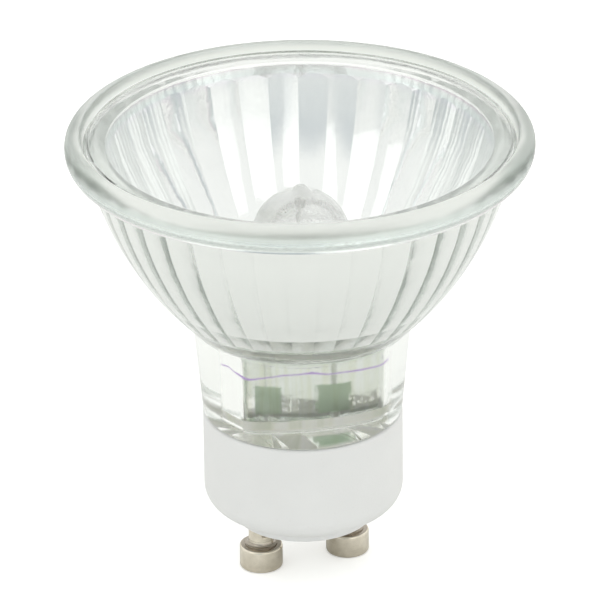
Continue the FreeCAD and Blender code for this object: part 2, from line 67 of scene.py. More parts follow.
class Side(Enum):
    """The two sides of the lamp that the pins, foils and wires stand on."""

    LEFT = -1
    RIGHT = 1

    @property
    def word(self) -> str:
        """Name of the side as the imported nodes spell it."""
        return self.name.lower()


class Grain(Enum):
    """Ways a surface's fine marks lie."""

    RIPPLE = "ripple"
    STREAK = "streak"
    SPECKLE = "speckle"
    TURNED = "turned"


class Slot(IntEnum):
    """Material slots of the reflector."""

    GLASS = 0
    FILM = 1
    SMEAR = 2
    DRAGGED = 3


# Node helpers


@dataclass
class NodeTree:
    """Short hand for adding and linking nodes in one tree."""

    tree: bpy.types.NodeTree

    def feed(self, socket: Socket, item: object) -> None:
        """Links an input, or sets its value.

        Args:
            socket: the input.
            item: socket to link it to, or its value.
        """
        if isinstance(item, Socket):
            self.tree.links.new(item, socket)
        elif socket.type == "RGBA":
            socket.default_value = (*item, 1.0)
        else:
            socket.default_value = item

    def fill(self, node: Node, *fed: object, **values: object) -> None:
        """Feeds a node's inputs.

        Args:
            node: the node.
            fed: items for its first inputs, in order.
            values: items for its inputs by name, with spaces as _.
        """
        named = {socket.name.replace(" ", "_"): socket for socket in reversed(node.inputs)}
        for socket, item in zip(node.inputs, fed):
            self.feed(socket, item)
        for name, item in values.items():
            self.feed(named[name], item)

    def add(self, kind: str, *fed: object, **values: object) -> Node:
        """Adds a node.

        Args:
            kind: Blender's name of the node type.
            fed: items for its first inputs, in order.
            values: properties of the node, and items for its inputs by name with spaces as _.

        Returns:
            The new node.
        """
        node = self.tree.nodes.new(kind)
        inputs = {}
        for name, value in values.items():
            if hasattr(node, name):
                setattr(node, name, value)
            else:
                inputs[name] = value
        self.fill(node, *fed, **inputs)
        return node

    def get(self, kind: str, *fed: object, **values: object) -> Socket:
        """Adds a node as add does, and gives its first output."""
        return self.add(kind, *fed, **values).outputs[0]

    def math(self, operation: str, first: object, second: object = 0.0) -> Socket:
        """Adds a sum of two sockets or numbers, by Blender's name of the sum."""
        return self.get("ShaderNodeMath", first, second, operation=operation)

    def vector(self, operation: str, *fed: object, **values: object) -> Socket:
        """Adds a sum of vectors, by Blender's name of the sum."""
        return self.get("ShaderNodeVectorMath", *fed, operation=operation, **values)

    def noise(self, places: Socket, scale: float, detail: float, **values: object) -> Socket:
        """Adds a noise read at some places, and gives its value."""
        return self.get("ShaderNodeTexNoise", Vector=places, Scale=scale, Detail=detail, **values)

    def ramp(self, source: Socket, stops: Stops) -> Socket:
        """Adds a colour ramp.

        Args:
            source: value from 0 to 1.
            stops: places and colours along the ramp.

        Returns:
            Socket with the colour.
        """
        node = self.add("ShaderNodeValToRGB", source)
        elements = node.color_ramp.elements
        while len(elements) < len(stops):
            elements.new(0.5)
        for element, (place, colour) in zip(elements, stops):
            element.position = place
            element.color = (*colour, 1.0)
        return node.outputs[0]

    def mix(self, share: object, first: object, second: object) -> Socket:
        """Mixes two colours.

        Args:
            share: socket or number, 0 for the first colour.
            first: socket or colour.
            second: socket or colour.

        Returns:
            Socket with the mixed colour.
        """
        node = self.add("ShaderNodeMix", share, data_type="RGBA")
        for socket, item in zip(node.inputs[6:8], (first, second)):
            self.feed(socket, item)
        return node.outputs[2]

    def eased(self, source: Socket, first: float, last: float) -> Socket:
        """Adds a soft step from 0 to 1 between two values of a source."""
        kind = "ShaderNodeMapRange"
        return self.get(kind, source, interpolation_type="SMOOTHSTEP", From_Min=first, From_Max=last)

    def places(self) -> Socket:
        """Socket with the object's own coordinates."""
        return self.add("ShaderNodeTexCoord").outputs["Object"]

    def height(self) -> Socket:
        """Socket with the height in the object's own coordinates."""
        return self.add("ShaderNodeSeparateXYZ", self.places()).outputs["Z"]


class GeometryTree(NodeTree):
    """Short hand for geometry node trees with named inputs."""

    @classmethod
    def start(cls, name: str, **inputs: str) -> "GeometryTree":
        """Starts a tree with a geometry input and output.

        Args:
            name: name of the tree.
            inputs: kinds of its further inputs by name.

        Returns:
            The tree.
        """
        tree = bpy.data.node_groups.new(name, "GeometryNodeTree")
        for label, kind in {"Geometry": "Geometry", **inputs}.items():
            tree.interface.new_socket(label, in_out="INPUT", socket_type=f"NodeSocket{kind}")
        tree.interface.new_socket("Geometry", in_out="OUTPUT", socket_type="NodeSocketGeometry")
        return cls(tree)

    def flag(self, name: str) -> Socket:
        """Reads a yes-or-no attribute by its name."""
        node = self.add("GeometryNodeInputNamedAttribute", data_type="BOOLEAN", Name=name)
        return next(socket for socket in node.outputs if socket.enabled and socket.name == "Attribute")

    def run(self, source: bpy.types.Object, values: dict[str, object]) -> None:
        """Puts the tree on an object as a modifier.

        Args:
            source: the object.
            values: values of the named inputs.
        """
        modifier = source.modifiers.new(self.tree.name, "NODES")
        modifier.node_group = self.tree
        for item in self.tree.interface.items_tree:
            if item.in_out == "INPUT" and item.name in values:
                modifier[item.identifier] = values[item.name]


class Coat(NodeTree):
    """Tree of a material with its Principled shader and its output."""

    def __init__(self, name: str) -> None:
        """Starts the material.

        Args:
            name: name of the material.
        """
        self.material = bpy.data.materials.new(name)
        self.material.use_nodes = True
        super().__init__(self.material.node_tree)
        self.tree.nodes.clear()
        self.surface = self.add("ShaderNodeBsdfPrincipled")
        self.output = self.add("ShaderNodeOutputMaterial", self.surface.outputs[0])

    def set(self, **values: object) -> None:
        """Feeds the shader's inputs by name, with spaces as _."""
        self.fill(self.surface, **values)

    def marks(self, group: bpy.types.NodeTree, **values: float) -> bpy.types.bpy_prop_collection:
        """Places a shared group with values of its inputs, and gives its outputs."""
        return self.add("ShaderNodeGroup", node_tree=group, **values).outputs

    def bump(self, height: Socket, depth: float) -> None:
        """Links a height to the shader's normal, with the depth of the marks in millimetres."""
        self.set(Normal=self.get("ShaderNodeBump", Strength=1.0, Distance=depth * MM, Height=height))


# Effects that several finishes share, with the scales of their marks against each other

FINE_RATIO = 5.0
DRAG_RATIO = 0.04
GRAIN_ROUGHNESS = 0.6
SPECK_CELLS = 0.25
SPECK_SIZE = 0.12
CLOUD_RATIO = 0.06
STREAK_SCALE = 900.0


def new_group(
    name: str, inputs: dict[str, float], outputs: Sequence[str]
) -> tuple[NodeTree, dict[str, Socket], dict[str, Socket]]:
    """Starts a shader node group.

    Args:
        name: name of the group.
        inputs: names and default values of its inputs.
        outputs: names of its outputs.

    Returns:
        The tree, its input sockets by name and its output sockets by name.
    """
    tree = bpy.data.node_groups.new(name, "ShaderNodeTree")
    for label, value in inputs.items():
        socket = tree.interface.new_socket(label, in_out="INPUT", socket_type="NodeSocketFloat")
        socket.default_value = value
    for label in outputs:
        tree.interface.new_socket(label, in_out="OUTPUT", socket_type="NodeSocketFloat")
    net = NodeTree(tree)
    given, wanted = net.add("NodeGroupInput").outputs, net.add("NodeGroupOutput").inputs
    return net, {socket.name: socket for socket in given}, {socket.name: socket for socket in wanted}


def scaled_places(net: NodeTree, scale: Socket) -> Socket:
    """Object coordinates in millimetres times a scale."""
    return net.vector("SCALE", net.places(), Scale=net.math("MULTIPLY", scale, 1 / MM))


def make_ripple_group() -> bpy.types.NodeTree:
    """Soft waves that pressing and fire polishing leave in glass, as a height.

    Returns:
        The group.
    """
    net, given, wanted = new_group("pressed_ripple", {"Scale": 0.2, "Fine": 0.2}, ["Height"])
    places = scaled_places(net, given["Scale"])
    fine = net.math("MULTIPLY", net.noise(places, FINE_RATIO, 2.0), given["Fine"])
    net.feed(wanted["Height"], net.math("ADD", net.noise(places, 1.0, 1.0), fine))
    return net.tree


def make_streak_group() -> bpy.types.NodeTree:
    """Upright drag marks that a plunger leaves on a slot's walls, as a height.

    Returns:
        The group.
    """
    net, given, wanted = new_group("drag_marks", {"Scale": 2.0}, ["Height"])
    drawn_out = net.vector("MULTIPLY", scaled_places(net, given["Scale"]), (1.0, 1.0, DRAG_RATIO))
    net.feed(wanted["Height"], net.noise(drawn_out, 1.0, 2.0))
    return net.tree


def make_speckle_group() -> bpy.types.NodeTree:
    """Grain of a fired or cast surface: a height, a mask of its sparse darker specks, and clouds.

    Returns:
        The group.
    """
    outputs = ["Height", "Mask", "Cloud"]
    net, given, wanted = new_group("fired_grain", {"Scale": 3.0, "Specks": 0.3}, outputs)
    places = scaled_places(net, given["Scale"])
    cells = net.add("ShaderNodeTexVoronoi", Vector=places, Scale=SPECK_CELLS).outputs["Distance"]
    near = net.math("LESS_THAN", cells, SPECK_SIZE)
    net.feed(wanted["Height"], net.noise(places, 1.0, 4.0, Roughness=GRAIN_ROUGHNESS))
    net.feed(wanted["Mask"], net.math("MULTIPLY", near, given["Specks"]))
    net.feed(wanted["Cloud"], net.noise(places, CLOUD_RATIO, 2.0))
    return net.tree


def make_turned_group() -> bpy.types.NodeTree:
    """Fine rings that a lathe tool leaves, along the axis and across the end, with streaks.

    Returns:
        The group.
    """
    net, given, wanted = new_group("lathe_marks", {"Rings": 9.0, "Shift": 0.0}, ["Height", "Streak"])
    places = net.places()
    parts = net.add("ShaderNodeSeparateXYZ", places).outputs
    across = net.math("SUBTRACT", parts["X"], net.math("MULTIPLY", given["Shift"], MM))
    square = net.math("ADD", net.math("POWER", across, 2.0), net.math("POWER", parts["Y"], 2.0))
    reach = net.math("ADD", net.math("SQRT", square), parts["Z"])
    line = net.math("MULTIPLY", reach, net.math("MULTIPLY", given["Rings"], 1 / MM))
    rings = net.get("ShaderNodeTexNoise", noise_dimensions="1D", W=line, Scale=1.0, Detail=3.0)
    net.feed(wanted["Height"], rings)
    net.feed(wanted["Streak"], net.noise(places, STREAK_SCALE, 3.0))
    return net.tree


@dataclass
class Effects:
    """Shader node groups that several finishes share."""

    ripple: bpy.types.NodeTree = field(default_factory=make_ripple_group)
    streak: bpy.types.NodeTree = field(default_factory=make_streak_group)
    speckle: bpy.types.NodeTree = field(default_factory=make_speckle_group)
    turned: bpy.types.NodeTree = field(default_factory=make_turned_group)


# Finishes


@dataclass(frozen=True)
class Finish:
    """Looks of one kind of surface."""

    name: str

    def material(self, effects: Effects) -> Material:
        """Makes the material of this finish.

        Args:
            effects: shared node groups.

        Returns:
            The material.
        """
        coat = Coat(self.name)
        self.dress(coat, effects)
        return coat.material

    def dress(self, coat: Coat, effects: Effects) -> None:
        """Adds the finish's nodes to the material's tree."""
        raise NotImplementedError


@dataclass(frozen=True)
class GlassFinish(Finish):
    """Clear glass with soft ripples or drag marks and a tint that deepens with thickness."""

    tint: Colour
    roughness: float
    ripple_scale: float
    ripple_depth: float
    depth_of_tint: float = 8.0
    index: float = 1.5
    colour: Colour = (1.0, 1.0, 1.0)
    grain: Grain = Grain.RIPPLE
    lip: Colour | None = None
    lip_roughness: float = 0.0
    lip_band: Flat = (0.0, 1.0)
    marked: Colour | None = None
    marked_band: Flat = (0.4, 0.54)
    passing: Colour = (0.97, 0.98, 0.97)

    def dress(self, coat: Coat, effects: Effects) -> None:
        """Adds the glass, its lip, its marks and its tint.

        Args:
            coat: the material's tree.
            effects: shared node groups.
        """
        coat.set(Base_Color=self.colour, Roughness=self.roughness, IOR=self.index, Transmission_Weight=1.0)
        if self.lip is not None:
            low, high = self.lip_band
            share = coat.eased(coat.height(), low * MM, high * MM)
            rise = coat.math("MULTIPLY", share, self.lip_roughness - self.roughness)
            coat.set(Base_Color=coat.mix(share, self.colour, self.lip))
            coat.set(Roughness=coat.math("ADD", rise, self.roughness))
        group = effects.streak if self.grain is Grain.STREAK else effects.ripple
        height = coat.marks(group, Scale=self.ripple_scale)["Height"]
        coat.bump(height, self.ripple_depth)
        if self.marked is not None:
            stops = tuple(zip(self.marked_band, (self.marked, self.colour)))
            coat.set(Base_Color=coat.ramp(height, stops))
        shadow = coat.add("ShaderNodeLightPath").outputs["Is Shadow Ray"]
        through = coat.get("ShaderNodeBsdfTransparent", self.passing)
        pick = coat.get("ShaderNodeMixShader", shadow, coat.surface.outputs[0], through)
        inside = coat.get("ShaderNodeVolumeAbsorption", Color=self.tint, Density=self.depth_of_tint)
        coat.fill(coat.output, Surface=pick, Volume=inside)


@dataclass(frozen=True)
class MirrorFilmFinish(Finish):
    """Thin reflecting film whose colour shifts with the height it was laid at."""

    low: float
    high: float
    stops: Stops
    roughness: float
    cloud_scale: float = 0.9
    drift: float = 0.03
    ripple_scale: float = 0.35
    ripple_depth: float = 0.02

    def dress(self, coat: Coat, effects: Effects) -> None:
        """Adds the mirror and its drifting colours.

        Args:
            coat: the material's tree.
            effects: shared node groups.
        """
        cloud = coat.marks(effects.speckle, Scale=self.cloud_scale)["Cloud"]
        drift = coat.math("MULTIPLY", coat.math("SUBTRACT", cloud, 0.5), self.drift)
        rise = coat.math("SUBTRACT", coat.height(), self.low * MM)
        share = coat.math("DIVIDE", rise, (self.high - self.low) * MM)
        tone = coat.ramp(coat.math("ADD", share, drift), self.stops)
        coat.set(Base_Color=tone, Metallic=1.0, Roughness=self.roughness)
        coat.bump(coat.marks(effects.ripple, Scale=self.ripple_scale)["Height"], self.ripple_depth)


@dataclass(frozen=True)
class FiredFinish(Finish):
    """Matte fired or set white surface with a fine grain and sparse specks."""

    colour: Colour
    shade: Colour
    speck: Colour
    roughness: float
    grain_scale: float
    grain_depth: float
    specks: float

    def dress(self, coat: Coat, effects: Effects) -> None:
        """Adds the clouded colour, the specks and the grain.

        Args:
            coat: the material's tree.
            effects: shared node groups.
        """
        grain = coat.marks(effects.speckle, Scale=self.grain_scale, Specks=self.specks)
        clouded = coat.mix(grain["Cloud"], self.colour, self.shade)
        coat.set(Base_Color=coat.mix(grain["Mask"], clouded, self.speck), Roughness=self.roughness)
        coat.bump(grain["Height"], self.grain_depth)


@dataclass(frozen=True)
class SmearFinish(Finish):
    """Set cement pressed out against glass, in streaks round an upright axis."""

    stops: Stops
    streaks: float
    roughness: float = 0.8
    grain_scale: float = 3.0
    grain_depth: float = 0.03

    def dress(self, coat: Coat, effects: Effects) -> None:
        """Adds the streaked colour and the grain.

        Args:
            coat: the material's tree.
            effects: shared node groups.
        """
        way = coat.vector("NORMALIZE", coat.vector("MULTIPLY", coat.places(), (1.0, 1.0, 0.0)))
        tone = coat.ramp(coat.noise(way, self.streaks, 3.0), self.stops)
        coat.set(Base_Color=tone, Roughness=self.roughness)
        coat.bump(coat.marks(effects.speckle, Scale=self.grain_scale)["Height"], self.grain_depth)


@dataclass(frozen=True)
class MetalFinish(Finish):
    """Plated or drawn metal with lathe marks or a fine speckle."""

    colour: Colour
    shade: Colour
    roughness: float
    grain: Grain = Grain.SPECKLE
    depth: float = 0.004
    rings: float = 6.0
    shift: float = 0.0
    stain: Colour | None = None
    stain_place: Place = (0.0, 0.0, 0.0)
    stain_reach: float = 1.0
    stain_raggedness: float = 2500.0
    # Painted shade: a darker band of heights that stands in for the shaded ceramic that the pin head's top
    # face and collar mirror.
    dull: Colour | None = None
    dull_band: Flat = (0.0, 1.0)
    dull_share: float = 0.9

    def dress(self, coat: Coat, effects: Effects) -> None:
        """Adds the metal, its marks, its band of painted shade and its stain.

        Args:
            coat: the material's tree.
            effects: shared node groups.
        """
        if self.grain is Grain.TURNED:
            marks = coat.marks(effects.turned, Rings=self.rings, Shift=self.shift)
            colour = coat.mix(marks["Streak"], self.colour, self.shade)
        else:
            marks = coat.marks(effects.speckle, Scale=self.rings)
            colour = coat.mix(marks["Cloud"], self.colour, self.shade)
        # Painted shade over the band of heights.
        if self.dull is not None:
            colour = coat.mix(self.dull_mask(coat), colour, self.dull)
        if self.stain is not None:
            colour = coat.mix(self.stain_mask(coat), colour, self.stain)
        rough = coat.math("MULTIPLY", coat.math("ADD", marks["Height"], 0.5), self.roughness)
        coat.set(Base_Color=colour, Metallic=1.0, Roughness=rough)
        coat.bump(marks["Height"], self.depth)

    def dull_mask(self, coat: Coat) -> Socket:
        """Mask of the band of heights that gets painted shade.

        Args:
            coat: the material's tree.

        Returns:
            Socket with the mask.
        """
        height = coat.height()
        above = coat.math("GREATER_THAN", height, self.dull_band[0] * MM)
        below = coat.math("LESS_THAN", height, self.dull_band[1] * MM)
        return coat.math("MULTIPLY", coat.math("MULTIPLY", above, below), self.dull_share)

    def stain_mask(self, coat: Coat) -> Socket:
        """Mask of a stain that fades out round its place.

        Args:
            coat: the material's tree.

        Returns:
            Socket with the mask.
        """
        places = coat.places()
        centre = Vector(self.stain_place) * MM
        gap = coat.add("ShaderNodeVectorMath", places, centre, operation="DISTANCE").outputs["Value"]
        fade = coat.math("DIVIDE", gap, self.stain_reach * MM)
        wander = coat.math("SUBTRACT", coat.noise(places, self.stain_raggedness, 3.0), 0.5)
        return coat.get("ShaderNodeClamp", coat.math("SUBTRACT", 1.0, coat.math("ADD", fade, wander)))


@dataclass(frozen=True)
class SealFinish(Finish):
    """Cloudy clear adhesive."""

    colour: Colour
    roughness: float
    index: float = 1.48
    cloud_scale: float = 2.0
    cloud_shade: float = 0.9
    depth: float = 0.03

    def dress(self, coat: Coat, effects: Effects) -> None:
        """Adds the clear body and its clouds.

        Args:
            coat: the material's tree.
            effects: shared node groups.
        """
        cloud = coat.marks(effects.speckle, Scale=self.cloud_scale)
        shade = tuple(self.cloud_shade * part for part in self.colour)
        coat.set(Base_Color=coat.mix(cloud["Cloud"], self.colour, shade), Roughness=self.roughness)
        coat.set(IOR=self.index, Transmission_Weight=1.0)
        coat.bump(cloud["Height"], self.depth)


# Mesh helpers


def spin(reach: float, turn: float, centre: Flat = (0.0, 0.0)) -> Flat:
    """Flat point at a distance and an angle in radians from a centre."""
    return centre[0] + reach * math.cos(turn), centre[1] + reach * math.sin(turn)


def between(first: Flat, last: Flat, share: float) -> Flat:
    """Flat point at a share of the way from one point to another."""
    return first[0] + (last[0] - first[0]) * share, first[1] + (last[1] - first[1]) * share


def arc(centre: Flat, radius: float, first: float, last: float, steps: int) -> list[Flat]:
    """Points of an arc from one angle to another in degrees, both ends among them."""
    angles = [math.radians(first + (last - first) * step / steps) for step in range(steps + 1)]
    return [spin(radius, angle, centre) for angle in angles]


def circle(radius: float, count: int, centre: Flat = (0.0, 0.0)) -> list[Flat]:
    """Points of a circle, anticlockwise."""
    return [spin(radius, FULL_TURN * index / count, centre) for index in range(count)]


def rounded_outline(length: float, width: float, corner: float, steps: int) -> list[Flat]:
    """Points of a rounded rectangle about the axis, anticlockwise.

    Args:
        length: size along X.
        width: size along Y.
        corner: radius of the corners.
        steps: steps along each corner and each straight side.

    Returns:
        The points.
    """
    reach, rise = length / 2 - corner, width / 2 - corner
    hubs = ((reach, rise), (-reach, rise), (-reach, -rise), (reach, -rise))
    points: list[Flat] = []
    for quarter, hub in enumerate(hubs):
        turn = 90 * quarter
        points += arc(hub, corner, turn, turn + 90, steps)
        start, end = points[-1], spin(corner, math.radians(turn + 90), hubs[(quarter + 1) % 4])
        points += [between(start, end, step / steps) for step in range(1, steps)]
    return points


def waves(turn: float, parts: Waves) -> float:
    """Sum at an angle in radians of waves, each with its count, phase and size."""
    return sum(size * math.sin(count * turn + phase) for count, phase, size in parts)


def inside(point: Vector, outline: Sequence[Vector]) -> bool:
    """Tells whether a flat point lies inside an outline.

    Args:
        point: the point.
        outline: the outline's points in order.

    Returns:
        True if it does.
    """
    hit = False
    for first, last in zip(outline, [*outline[1:], outline[0]]):
        if (first.y > point.y) != (last.y > point.y):
            cross = first.x + (point.y - first.y) / (last.y - first.y) * (last.x - first.x)
            hit ^= point.x < cross
    return hit


@dataclass
class MeshDraft:
    """Vertices and faces of a piece while it is drawn, in millimetres."""

    places: list[Place] = field(default_factory=list)
    faces: list[tuple[int, ...]] = field(default_factory=list)
    slots: list[int] = field(default_factory=list)

    def loop(self, points: Iterable[Place]) -> list[int]:
        """Adds vertices.

        Args:
            points: their places.

        Returns:
            Their indexes.
        """
        start = len(self.places)
        self.places += list(points)
        return list(range(start, len(self.places)))

    def level(self, points: Iterable[Flat], height: float) -> list[int]:
        """Adds a level loop of flat points at a height, and gives its indexes."""
        return self.loop((x, y, height) for x, y in points)

    def face(self, corners: Sequence[int], slot: int = 0) -> None:
        """Adds a face with a material slot."""
        self.faces.append(tuple(corners))
        self.slots.append(int(slot))

    def bridge(self, lower: Sequence[int], upper: Sequence[int], slot: int = 0) -> None:
        """Joins two closed loops of as many vertices with four-sided faces.

        Args:
            lower: one loop.
            upper: the other loop.
            slot: material slot of the faces.
        """
        count = len(lower)
        for index in range(count):
            ahead = (index + 1) % count
            self.face((lower[index], lower[ahead], upper[ahead], upper[index]), slot)

    def skin(self, loops: Sequence[Sequence[int]]) -> None:
        """Joins each loop to the next."""
        for lower, upper in zip(loops, loops[1:]):
            self.bridge(lower, upper)

    def fan(self, loop: Sequence[int], hub: int) -> None:
        """Joins a closed loop to one vertex."""
        for index, corner in enumerate(loop):
            self.face((corner, loop[(index + 1) % len(loop)], hub))

    def cap(self, loop: Sequence[int]) -> None:
        """Closes a loop with a fan round its middle."""
        middle = [sum(self.places[i][axis] for i in loop) / len(loop) for axis in range(3)]
        self.fan(loop, self.loop([tuple(middle)])[0])

    def plate(self, rim: Sequence[int], holes: Sequence[Sequence[int]], slot: int = 0) -> None:
        """Fills a level outline, less its holes, between loops that are already drawn.

        Args:
            rim: the outline.
            holes: the holes.
            slot: material slot of the faces.
        """
        indexes = [index for loop in (rim, *holes) for index in loop]
        flats = [Vector(self.places[index][:2]) for index in indexes]
        edges: list[tuple[int, int]] = []
        outlines: list[list[Vector]] = []
        for loop in (rim, *holes):
            start, count = len(edges), len(loop)
            edges += [(start + step, start + (step + 1) % count) for step in range(count)]
            outlines.append(flats[start : start + count])
        for triangle in delaunay_2d_cdt(flats, edges, [], 0, 1e-7)[2]:
            middle = sum((flats[index] for index in triangle), Vector((0.0, 0.0))) / 3
            if inside(middle, outlines[0]) and not any(inside(middle, hole) for hole in outlines[1:]):
                self.face([indexes[index] for index in triangle], slot)

    def mesh(self, name: str) -> Mesh:
        """Mesh of the draft, in metres, with its doubles merged and its faces outwards.

        Args:
            name: name of the mesh.

        Returns:
            The mesh.
        """
        mesh = bpy.data.meshes.new(name)
        mesh.from_pydata([Vector(place) * MM for place in self.places], [], self.faces)
        mesh.polygons.foreach_set("material_index", self.slots)
        work = bmesh.new()
        work.from_mesh(mesh)
        bmesh.ops.remove_doubles(work, verts=work.verts, dist=MERGE * MM)
        bmesh.ops.recalc_face_normals(work, faces=work.faces)
        work.to_mesh(mesh)
        work.free()
        return mesh


def turned_draft(outline: Sequence[Flat], count: int, centre: Flat = (0.0, 0.0)) -> MeshDraft:
    """Turns a closed outline of radius and height about an upright axis.

    Args:
        outline: its points. A point at radius 0 becomes a pole.
        count: number of steps round the axis.
        centre: place of the axis.

    Returns:
        The draft.
    """
    draft = MeshDraft()
    loops = [
        draft.level(circle(radius, count, centre) if radius > 0 else [centre], height)
        for radius, height in outline
    ]
    for lower, upper in zip(loops, [*loops[1:], loops[0]]):
        if len(lower) > 1 and len(upper) > 1:
            draft.bridge(lower, upper)
        elif len(lower) > 1 or len(upper) > 1:
            ring, pole = sorted((lower, upper), key=len, reverse=True)
            draft.fan(ring, pole[0])
    return draft


def link_object(name: str, data: bpy.types.ID) -> bpy.types.Object:
    """Puts data in the scene as an object.

    Args:
        name: name of the object.
        data: its mesh, curve, lamp or camera.

    Returns:
        The object.
    """
    made = bpy.data.objects.new(name, data)
    bpy.context.scene.collection.objects.link(made)
    return made


def new_piece(name: str, mesh: Mesh, materials: Sequence[Material]) -> bpy.types.Object:
    """Puts a mesh in the scene as a piece of the lamp.

    Args:
        name: name of the piece.
        mesh: its mesh.
        materials: its materials, slot by slot.

    Returns:
        The object.
    """
    for index, material in enumerate(materials):
        if index < len(mesh.materials):
            mesh.materials[index] = material
        else:
            mesh.materials.append(material)
    return link_object(name, mesh)


def seat_piece(piece: bpy.types.Object, nodes: Sequence[str]) -> None:
    """Ties a piece to the lamp's body and the nodes it stands for.

    Args:
        piece: the piece.
        nodes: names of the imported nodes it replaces.
    """
    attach(piece, BODY)
    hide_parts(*nodes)
    log.info("%s: %d faces, stands for %s", piece.name, len(piece.data.polygons), ", ".join(nodes))


def seat_draft(draft: MeshDraft, name: str, material: Material, angle: float, node: str) -> None:
    """Makes a smooth piece of a draft and seats it.

    Args:
        draft: the draft.
        name: name of the piece.
        material: its material.
        angle: angle in degrees over which its edges stay sharp.
        node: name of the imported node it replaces.
    """
    mesh = draft.mesh(name)
    mesh.shade_smooth()
    mesh.set_sharp_from_angle(angle=math.radians(angle))
    seat_piece(new_piece(name, mesh, (material,)), (node,))


def dress_node(name: str, material: Material) -> None:
    """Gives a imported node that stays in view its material.

    Args:
        name: name of the node.
        material: the material.
    """
    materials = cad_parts[name].data.materials
    materials.clear()
    materials.append(material)
    log.info("%s: dressed", name)


def plain_mesh(source: bpy.types.Object, name: str) -> Mesh:
    """Mesh that an object's modifiers make of it. The object is removed.

    Args:
        source: the object.
        name: name of the mesh.

    Returns:
        The mesh.
    """
    graph = bpy.context.evaluated_depsgraph_get()
    made = source.evaluated_get(graph)
    mesh = bpy.data.meshes.new_from_object(made, preserve_all_data_layers=True, depsgraph=graph)
    mesh.name = name
    bpy.data.objects.remove(source)
    return mesh


# Sub-assemblies


@dataclass(frozen=True)
class Levels:
    """Heights, and the pins' spacing, that several sub-assemblies share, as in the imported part."""

    base_low: float = 5.75
    base_floor: float = 8.95
    base_top: float = 18.4
    pinch_low: float = 18.9
    neck_top: float = 29.05
    floor: float = 30.45
    rim_low: float = 47.7
    seat: float = 49.25
    glass_low: float = 49.37
    rim_top: float = 51.15
    pin_spacing: float = 10.0


LEVELS = Levels()


@dataclass(frozen=True)
class RowPoint:
    """Radius and height of one row of the reflector's outline, and whether its edge is sharp."""

    radius: float
    height: float
    sharp: bool = False


